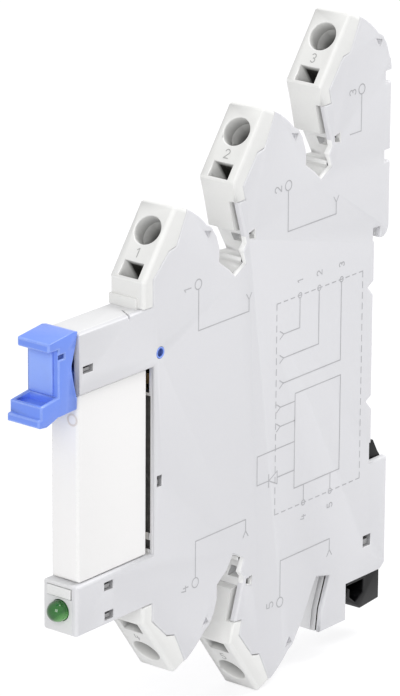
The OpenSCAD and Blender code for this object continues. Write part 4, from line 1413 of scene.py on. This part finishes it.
@dataclass
class Clamps:
    """Spring clamps, current bars, contacts and the circuit board behind the heads."""

    shop: Workshop

    def build(self) -> None:
        """Gives the metal and the board their finishes."""
        book = self.shop.book
        for finish, kind in (
                (book.spring, "clamp_spring"), (book.copper, "current_bar"),
                (book.contact, "socket_contact")):
            self.shop.dress(finish, *[f"{kind}_{terminal.key}" for terminal in TERMINALS])
        self.shop.dress(book.board, "circuit_board")
        self.shop.dress(book.component, "bridge_rectifier", "chip_resistors", "flyback_diode")
        self.shop.dress(book.varistor, "surge_varistor")
        self.shop.dress(book.copper, "led_leads")


@dataclass
class PlugInRelay:
    """The white relay in the bay, and what its cover hides."""

    shop: Workshop
    half_width: float = 2.5 * MM
    front_radius: float = 0.5 * MM
    edge_radius: float = 0.16 * MM
    front: float = -67.7 * MM
    mark_place: Span = (1.5 * MM, 5.6 * MM)
    mark_radius: float = 0.8 * MM
    mark_line: float = 0.28 * MM

    def radius_of(self, edge: BMEdge) -> float:
        """Radius of one edge of the relay's cover.

        Args:
            edge: The edge.

        Returns:
            Its radius, in metres, or 0 for a sharp edge.
        """
        outer = all(abs(abs(vert.co.x) - self.half_width) < NEAR for vert in edge.verts)
        at_front = all(abs(vert.co.y - self.front) < NEAR for vert in edge.verts)
        return self.front_radius if at_front else self.edge_radius if outer else 0.0

    def build(self) -> None:
        """Makes the relay's cover and its plain ring, and dresses its inner parts."""
        book = self.shop.book
        self.shop.dressed(
            "relay_cover", self.shop.copy_of("relay_cover"), self.radius_of, book.relay, Body.RELAY, 4)
        across, high = self.mark_place
        place = Matrix.Translation((across, self.front - PRINT_LIFT, high))
        ring = bmesh.new()
        points = arc((0.0, 0.0), self.mark_radius, 0, 360, 28)
        stroke_path(ring, points, self.mark_line, place @ Matrix.Rotation(math.radians(90), 4, "X"))
        self.shop.piece("relay_ring", self.shop.smooth_mesh(ring), book.relay_ink, Body.RELAY)
        self.shop.dress(book.coil, "relay_base", "coil_bobbin", "pusher_card")
        self.shop.dress(book.winding, "coil_winding")
        self.shop.dress(book.iron, "coil_core", "yoke", "armature")
        self.shop.dress(book.spring, "return_spring")
        self.shop.dress(
            book.contact, "coil_pins", "moving_blade", "com_terminal", "no_terminal", "nc_terminal")


@dataclass
class Ejector:
    """Blue ejector lever with its slightly wavy grip panel."""

    shop: Workshop
    radius: float = 0.3 * MM
    boss_radius: float = 0.1 * MM
    boss_front: float = -60.0 * MM
    half_width: float = 2.9 * MM
    notch_y: Span = (-72.2 * MM, -70.9 * MM)
    notch_z: Span = (15.8 * MM, 16.5 * MM)
    notch_depth: float = 0.5 * MM
    # notch_dusk and cup_dusk: shares of painted shade in the notch and in the pivot's cup
    notch_dusk: float = 0.55
    cup_front: float = -53.0 * MM
    cup_area: float = 4.0 * MM * MM
    cup_rim: float = 0.22 * MM
    cup_slope: float = 0.06 * MM
    cup_depth: float = 0.45 * MM
    cup_dusk: float = 0.7
    panel_low: Sequence[float] = (-2.55 * MM, -72.3 * MM, 10.4 * MM)
    panel_high: Sequence[float] = (1.75 * MM, -71.85 * MM, 16.7 * MM)
    panel_radius: float = 0.18 * MM
    panel_cuts: int = 11
    panel_wave: float = 0.12 * MM
    panel_waves: float = 2.6

    def radius_of(self, edge: BMEdge) -> float:
        """Radius of one edge of the lever, smaller on the pivot's boss."""
        middle = (edge.verts[0].co + edge.verts[1].co) / 2
        return self.boss_radius if middle.y > self.boss_front else self.radius

    def cut_notch(self, bm: BMesh) -> None:
        """Sinks a small notch into the cheek under the upper ledge and gives it painted shade.

        Args:
            bm: Copy of the lever, changed in place.
        """
        layer = bm.faces.layers.float.new("deep_face")
        sides = [(Vector((0, y, 0)), Vector((0, 1, 0))) for y in self.notch_y]
        sides += [(Vector((0, 0, z)), Vector((0, 0, 1))) for z in self.notch_z]
        for place, way in sides:
            right = [face for face in bm.faces if face.normal.x > 0.9]
            cheek = [face for face in right if abs(face.calc_center_median().x - self.half_width) < NEAR]
            edges = {edge for face in cheek for edge in face.edges}
            verts = {vert for face in cheek for vert in face.verts}
            bmesh.ops.bisect_plane(
                bm, geom=[*cheek, *edges, *verts], plane_co=place, plane_no=way, dist=0.001 * MM)
        spot = Vector((self.half_width, sum(self.notch_y) / 2, sum(self.notch_z) / 2))
        right = [face for face in bm.faces if face.normal.x > 0.9]
        floor = min(right, key=lambda face: (face.calc_center_median() - spot).length)
        sunk = bmesh.ops.inset_region(bm, faces=[floor], thickness=NEAR, depth=-self.notch_depth)
        for face in [*sunk["faces"], floor]:
            face[layer] = self.notch_dusk

    def cup_boss(self, bm: BMesh) -> None:
        """Sinks a round cup into the end of the pivot's boss and gives it painted shade.

        Args:
            bm: Copy of the lever, changed in place.
        """
        layer = bm.faces.layers.float["deep_face"]
        right = [face for face in bm.faces if face.normal.x > 0.9 and face.calc_area() < self.cup_area]
        ends = [face for face in right if face.calc_center_median().y > self.cup_front]
        bmesh.ops.inset_region(bm, faces=ends, thickness=self.cup_rim, depth=0.0)
        sunk = bmesh.ops.inset_region(bm, faces=ends, thickness=self.cup_slope, depth=-self.cup_depth)
        for face in [*sunk["faces"], *ends]:
            face[layer] = self.cup_dusk

    def panel(self) -> Mesh:
        """Makes the grip panel, a rounded plate whose front swells and dips a little.

        Returns:
            Its mesh.
        """
        low, high = Vector(self.panel_low), Vector(self.panel_high)
        size = high - low
        bm = block(low, high)
        front = [edge for edge in bm.edges if all(vert.co.y < low.y + NEAR for vert in edge.verts)]
        bmesh.ops.bevel(
            bm, geom=front, affect="EDGES", offset=self.panel_radius, segments=3, profile=0.5, material=-1)
        long = [edge for edge in bm.edges if edge.calc_length() > 3 * MM]
        bmesh.ops.subdivide_edges(bm, edges=long, cuts=self.panel_cuts, use_grid_fill=True)
        for vert in bm.verts:
            if vert.co.y < high.y - NEAR:
                up = (vert.co.z - low.z) / size.z
                across = (vert.co.x - low.x) / size.x
                wave = math.sin(math.pi * across) * math.cos(self.panel_waves * math.pi * up)
                vert.co.y -= self.panel_wave * wave
        bmesh.ops.recalc_face_normals(bm, faces=bm.faces)
        return self.shop.smooth_mesh(bm, 60)

    def build(self) -> None:
        """Makes the dressed lever and its panel."""
        book = self.shop.book
        bm = self.shop.copy_of("ejector_lever")
        self.cut_notch(bm)
        self.cup_boss(bm)
        self.shop.dressed("ejector_lever", bm, self.radius_of, book.ejector, Body.EJECTOR)
        # The grip panel's lighter blue is painted light.
        self.shop.piece("ejector_panel", self.panel(), book.ejector_panel, Body.EJECTOR)


@dataclass
class RailLatch:
    """Black latch that grips the rail, with its spring."""

    shop: Workshop
    radius: float = 0.18 * MM
    travel: float = 2.5 * MM

    def squeezed_spring(self) -> None:
        """Makes the spring as a piece of its own that rides on the latch."""
        mesh = self.shop.smooth_mesh(self.shop.copy_of("latch_spring"), 60)
        spring = self.shop.piece(
            "latch_spring_dressed", mesh, self.shop.book.spring, Body.LATCH, ["latch_spring"])
        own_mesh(spring)

    def build(self) -> None:
        """Makes the dressed latch and its spring."""
        bm = self.shop.copy_of("rail_latch")
        self.shop.dressed("rail_latch", bm, lambda edge: self.radius, self.shop.book.latch, Body.LATCH)
        self.squeezed_spring()


@dataclass
class Indicator:
    """Marker plate and green lamp at the front of the lower arm."""

    shop: Workshop
    plate_radius: float = 0.12 * MM
    lens_radius: float = 1.55 * MM
    lens_height: float = -23.0 * MM
    dome_centre: float = -69.3 * MM
    neck_back: float = 1.7 * MM
    flange_front: float = 1.72 * MM
    flange_edge: float = 1.8 * MM
    flange_bevel: float = 0.05 * MM

    def lens(self) -> Mesh:
        """Makes the lamp's lens, a dome on a flange.

        Returns:
            Its mesh.
        """
        low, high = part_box("indicator_led")
        back = high[1] - self.dome_centre
        flange = (high[2] - low[2]) / 2
        radius = self.lens_radius
        angles = [math.radians(angle) for angle in range(0, 91, 6)]
        profile = [(radius * math.sin(angle), radius * math.cos(angle)) for angle in angles]
        profile += [(radius, -self.neck_back), (flange - self.flange_bevel, -self.flange_front)]
        profile += [(flange, -self.flange_edge), (flange, -back), (0.0, -back)]
        place = Matrix.Translation((0.0, self.dome_centre, self.lens_height))
        bm = lathe(profile, place @ Matrix.Rotation(math.radians(90), 4, "X"))
        return self.shop.smooth_mesh(bm, 40)

    def build(self) -> None:
        """Makes the marker plate and the lamp."""
        book = self.shop.book
        bm = self.shop.copy_of("marker_plate")
        self.shop.dressed("marker_plate", bm, lambda edge: self.plate_radius, book.marker)
        self.shop.piece("indicator_lens", self.lens(), book.lens, stands_for=["indicator_led"])


@dataclass
class SidePrint:
    """Plain circuit drawing and terminal numbers printed on the side cover, in millimetres."""

    shop: Workshop
    plane: float = 3.1 * MM
    line: float = 0.17
    ring: float = 0.75
    small_ring: float = 0.4
    dash: float = 0.9
    gap: float = 0.75
    number_height: float = 1.5
    small_height: float = 1.2
    rings: tuple[Span, ...] = ((-41.8, 19.4), (-21.1, 29.3), (-3.8, 40.1), (-42.1, -26.1), (-22.0, -35.3))
    numbers: tuple[Span, ...] = ((-44.2, 19.2), (-23.5, 29.2), (-6.0, 40.0), (-44.5, -26.4), (-24.4, -35.1))
    small_rings: tuple[Span, ...] = (
        (-18.0, 11.8), (-13.4, 11.8), (-8.0, 11.8), (-16.6, -21.0), (-10.1, -21.0))
    small_numbers: tuple[Span, ...] = (
        (-18.0, 14.1), (-13.4, 14.1), (-8.0, 14.1), (-16.6, -23.3), (-10.1, -23.3))
    frame_box: tuple[float, float, float, float] = (-23.5, -21.0, -2.8, 11.8)
    box: tuple[float, float, float, float] = (-18.9, -18.1, -7.9, -3.2)
    wires: tuple[tuple[Span, ...], ...] = (
        ((-41.7, 18.6), (-41.7, 12.4), (-30.1, 12.4), (-30.1, 14.2)),
        ((-21.1, 28.5), (-21.1, 22.3), (-9.6, 22.3), (-9.6, 24.1)),
        ((-3.8, 39.3), (-3.8, 33.7), (-6.5, 33.7)),
        ((-42.1, -25.3), (-42.1, -19.7), (-30.4, -19.7), (-30.4, -21.5)),
        ((-22.0, -34.5), (-22.0, -28.7), (-10.0, -28.7), (-10.0, -30.5)),
        ((-18.0, 11.4), (-18.0, 6.8), (-21.8, 6.8)),
        ((-13.4, 11.4), (-13.4, 3.1), (-21.8, 3.1)),
        ((-8.0, 11.4), (-8.0, -0.8), (-21.8, -0.8)),
        ((-22.4, -4.4), (-18.9, -4.4)),
        ((-22.4, -7.4), (-18.9, -7.4)),
        ((-18.9, -10.7), (-27.8, -10.7), (-27.8, -15.2), (-25.6, -15.2)),
        ((-22.4, -15.2), (-18.9, -15.2)),
        ((-16.6, -18.1), (-16.6, -20.6)),
        ((-10.1, -18.1), (-10.1, -20.6)),
    )
    forks: tuple[tuple[float, float, int, int], ...] = (
        (-30.1, 14.2, 0, 1), (-9.6, 24.1, 0, 1), (-30.4, -21.5, 0, -1), (-10.0, -30.5, 0, -1),
        (-21.8, 6.8, -1, 0), (-21.8, 3.1, -1, 0), (-21.8, -0.8, -1, 0), (-22.4, -4.4, -1, 0),
        (-22.4, -7.4, -1, 0))
    fork_reach: float = 0.9
    fork_half: float = 0.6
    diode: Span = (-24.0, -15.2)
    diode_half: float = 1.0
    diode_lead: float = 1.6

    def _plane(self) -> Matrix:
        """Frame of the printed plane.

        Returns:
            A matrix with Y of the part to the right and Z up, in millimetres.
        """
        turn = Matrix(((0, 0, 1, 0), (1, 0, 0, 0), (0, 1, 0, 0), (0, 0, 0, 1)))
        place = Matrix.Translation((self.plane + PRINT_LIFT, 0.0, 0.0))
        return place @ turn @ Matrix.Diagonal((MM, MM, MM, 1.0))

    def path(self, bm: BMesh, *points: Sequence[float]) -> None:
        """Adds a printed line through points."""
        stroke_path(bm, points, self.line, self._plane())

    def dashes(self, bm: BMesh, start: Span, end: Span) -> None:
        """Adds a dashed printed line.

        Args:
            bm: Mesh that takes it.
            start: Its first end.
            end: Its other end.
        """
        way = Vector(end) - Vector(start)
        count = max(1, round((way.length + self.gap) / (self.dash + self.gap)))
        pitch = (way.length + self.gap) / count
        for i in range(count):
            first = Vector(start) + way.normalized() * pitch * i
            self.path(bm, first, first + way.normalized() * (pitch - self.gap))

    def draw_forks(self, bm: BMesh) -> None:
        """Adds the forks at the ends of the wires.

        Args:
            bm: Mesh that takes them.
        """
        for y, z, dy, dz in self.forks:
            for half in (-self.fork_half, self.fork_half):
                tip = (y + dy * self.fork_reach + dz * half, z + dz * self.fork_reach + dy * half)
                self.path(bm, (y, z), tip)

    def draw_boxes(self, bm: BMesh) -> None:
        """Adds the plain box and the dashed frame.

        Args:
            bm: Mesh that takes them.
        """
        for box, line in ((self.box, self.path), (self.frame_box, self.dashes)):
            low_y, low_z, high_y, high_z = box
            corners = ((low_y, low_z), (high_y, low_z), (high_y, high_z), (low_y, high_z), (low_y, low_z))
            for start, end in zip(corners, corners[1:]):
                line(bm, start, end)

    def draw_diode(self, bm: BMesh) -> None:
        """Adds the diode.

        Args:
            bm: Mesh that takes it.
        """
        (y, z), half, lead = self.diode, self.diode_half, self.diode_lead
        self.path(bm, (y - lead, z), (y - half, z))
        self.path(bm, (y - half, z - half), (y - half, z + half))
        self.path(bm, (y + half, z - half), (y + half, z + half), (y - half, z), (y + half, z - half))
        self.path(bm, (y + half, z), (y + lead, z))

    def drawing(self) -> BMesh:
        """Makes the whole line drawing as one flat mesh.

        Returns:
            The mesh.
        """
        bm = bmesh.new()
        for centre in self.rings:
            self.path(bm, *arc(centre, self.ring, 0, 360, 24))
        for centre in self.small_rings:
            self.path(bm, *arc(centre, self.small_ring, 0, 360, 14))
        for points in self.wires:
            self.path(bm, *points)
        self.draw_forks(bm)
        self.draw_boxes(bm)
        self.draw_diode(bm)
        return bm

    def build(self) -> None:
        """Makes the drawing and the numbers beside the rings."""
        ink = self.shop.book.ink
        self.shop.piece("side_drawing", self.shop.smooth_mesh(self.drawing()), ink)
        turn = Matrix.Rotation(math.radians(90), 4, "Z")
        groups = (
            ("side", self.numbers, self.number_height), ("small", self.small_numbers, self.small_height))
        for kind, places, height in groups:
            for terminal, (y, z) in zip(TERMINALS, places):
                matrix = self._plane() @ Matrix.Translation((y, z, 0.0)) @ turn
                number = stroke_number(terminal.number, height, self.line, matrix)
                self.shop.piece(f"{kind}_number_{terminal.number}", self.shop.smooth_mesh(number), ink)


@dataclass
class Studio:
    """Camera at the photograph's angle, pale floor and soft light."""

    azimuth: float = math.radians(38.79)
    elevation: float = math.radians(18.72)
    roll: float = math.radians(0.37)
    distance: float = 721.8 * MM
    focal_pixels: float = 4846.4
    aim: Sequence[float] = (3.1 * MM, 0.0, 16.1 * MM)
    aim_pixel: Span = (374.6, 239.0)
    sensor: float = 36.0
    world_level: float = 0.64
    lamp_size: float = 360.0 * MM
    lamps: tuple[tuple[float, float, float, float], ...] = (
        (29.0, 26.0, 700.0 * MM, 0.33), (153.0, 61.0, 700.0 * MM, 0.55))
    floor_half: float = 3.0
    floor_drop: float = 0.02 * MM
    floor_colour: Colour = (0.76, 0.76, 0.77)
    shadow_colour: Colour = (0.3, 0.3, 0.31)
    floor_glow: float = 0.76

    def camera(self) -> None:
        """Makes the camera of the photograph's view."""
        sin_a, cos_a = math.sin(self.azimuth), math.cos(self.azimuth)
        sin_e, cos_e = math.sin(self.elevation), math.cos(self.elevation)
        back = Vector((sin_a * cos_e, -cos_a * cos_e, sin_e))
        flat = Vector((cos_a, sin_a, 0.0))
        rise = back.cross(flat)
        right = flat * math.cos(self.roll) + rise * math.sin(self.roll)
        up = rise * math.cos(self.roll) - flat * math.sin(self.roll)
        width, height = IMAGE_SIZE
        shift_right = self.distance * (self.aim_pixel[0] - width / 2) / self.focal_pixels
        shift_up = self.distance * (height / 2 - self.aim_pixel[1]) / self.focal_pixels
        place = Vector(self.aim) - right * shift_right - up * shift_up + back * self.distance
        data = bpy.data.cameras.new("photo_camera")
        data.sensor_fit = "VERTICAL"
        data.sensor_height = self.sensor
        data.lens = self.focal_pixels * self.sensor / height
        data.clip_start = 0.01
        data.clip_end = 50.0
        camera = put("photo_camera", data)
        camera.matrix_world = axes(right, up, back, place)
        bpy.context.scene.camera = camera

    def light(self) -> None:
        """Makes the softboxes."""
        middle = (Vector(CAD_BOX[0]) + Vector(CAD_BOX[1])) / 2
        for number, (azimuth, elevation, distance, level) in enumerate(self.lamps):
            a, e = math.radians(azimuth), math.radians(elevation)
            way = Vector((math.sin(a) * math.cos(e), -math.cos(a) * math.cos(e), math.sin(e)))
            data = bpy.data.lights.new(f"softbox_{number}", "AREA")
            data.shape = "SQUARE"
            data.size = self.lamp_size
            data.energy = level * (math.pi * distance) ** 2
            lamp = put(data.name, data)
            lamp.location = middle + way * distance
            lamp.rotation_euler = way.to_track_quat("Z", "Y").to_euler()

    def world(self) -> None:
        """Makes the even world light, with a white background to the camera."""
        world = bpy.data.worlds.new("studio_world")
        world.use_nodes = True
        w = Wiring(world.node_tree)
        white = (1.0, 1.0, 1.0)
        even = w.node("ShaderNodeBackground", {"Color": white, "Strength": self.world_level})
        back = w.node("ShaderNodeBackground", {"Color": white, "Strength": 1.0})
        mix = w.node("ShaderNodeMixShader", {0: w.seen(), 1: even.outputs[0], 2: back.outputs[0]})
        w.node("ShaderNodeOutputWorld", {"Surface": mix.outputs[0]})
        bpy.context.scene.world = world
        bpy.context.scene.view_settings.view_transform = "Standard"

    def floor(self) -> None:
        """Makes the pale floor, white to the camera but for the shadow on it."""
        bm = bmesh.new()
        place = Matrix.Translation((0.0, 0.0, CAD_BOX[0][2] - self.floor_drop))
        bmesh.ops.create_grid(bm, x_segments=8, y_segments=8, size=self.floor_half, matrix=place)
        mesh = bpy.data.meshes.new("floor")
        bm.to_mesh(mesh)
        bm.free()
        material = bpy.data.materials.new("floor_white")
        material.use_nodes = True
        w = Wiring(material.node_tree)
        plain = w.node("ShaderNodeBsdfDiffuse", {"Color": self.floor_colour})
        thin = w.node("ShaderNodeBsdfDiffuse", {"Color": self.shadow_colour})
        glow = w.node("ShaderNodeEmission", {"Strength": self.floor_glow})
        both = w.node("ShaderNodeAddShader", {0: thin.outputs[0], 1: glow.outputs[0]})
        mix = w.node("ShaderNodeMixShader", {0: w.seen(), 1: plain.outputs[0], 2: both.outputs[0]})
        w.node("ShaderNodeOutputMaterial", {"Surface": mix.outputs[0]})
        mesh.materials.append(material)
        floor = put("floor", mesh)

    def build(self) -> None:
        """Makes camera, floor and light."""
        self.camera()
        self.light()
        self.world()
        self.floor()
        LOG.info("studio: camera, %d lamps, world and floor", len(self.lamps))


def main() -> None:
    """Builds the studio and the module's sub-assemblies in order."""
    logging.basicConfig(level=logging.INFO, format="%(name)s: %(message)s", stream=sys.stdout)
    Studio().build()
    shop = Workshop()
    for part in (Housing, TerminalHeads, Clamps, PlugInRelay, Ejector, RailLatch, Indicator, SidePrint):
        part(shop).build()
        LOG.info("%s done", part.__name__)


if __name__ == "__main__":
    main()
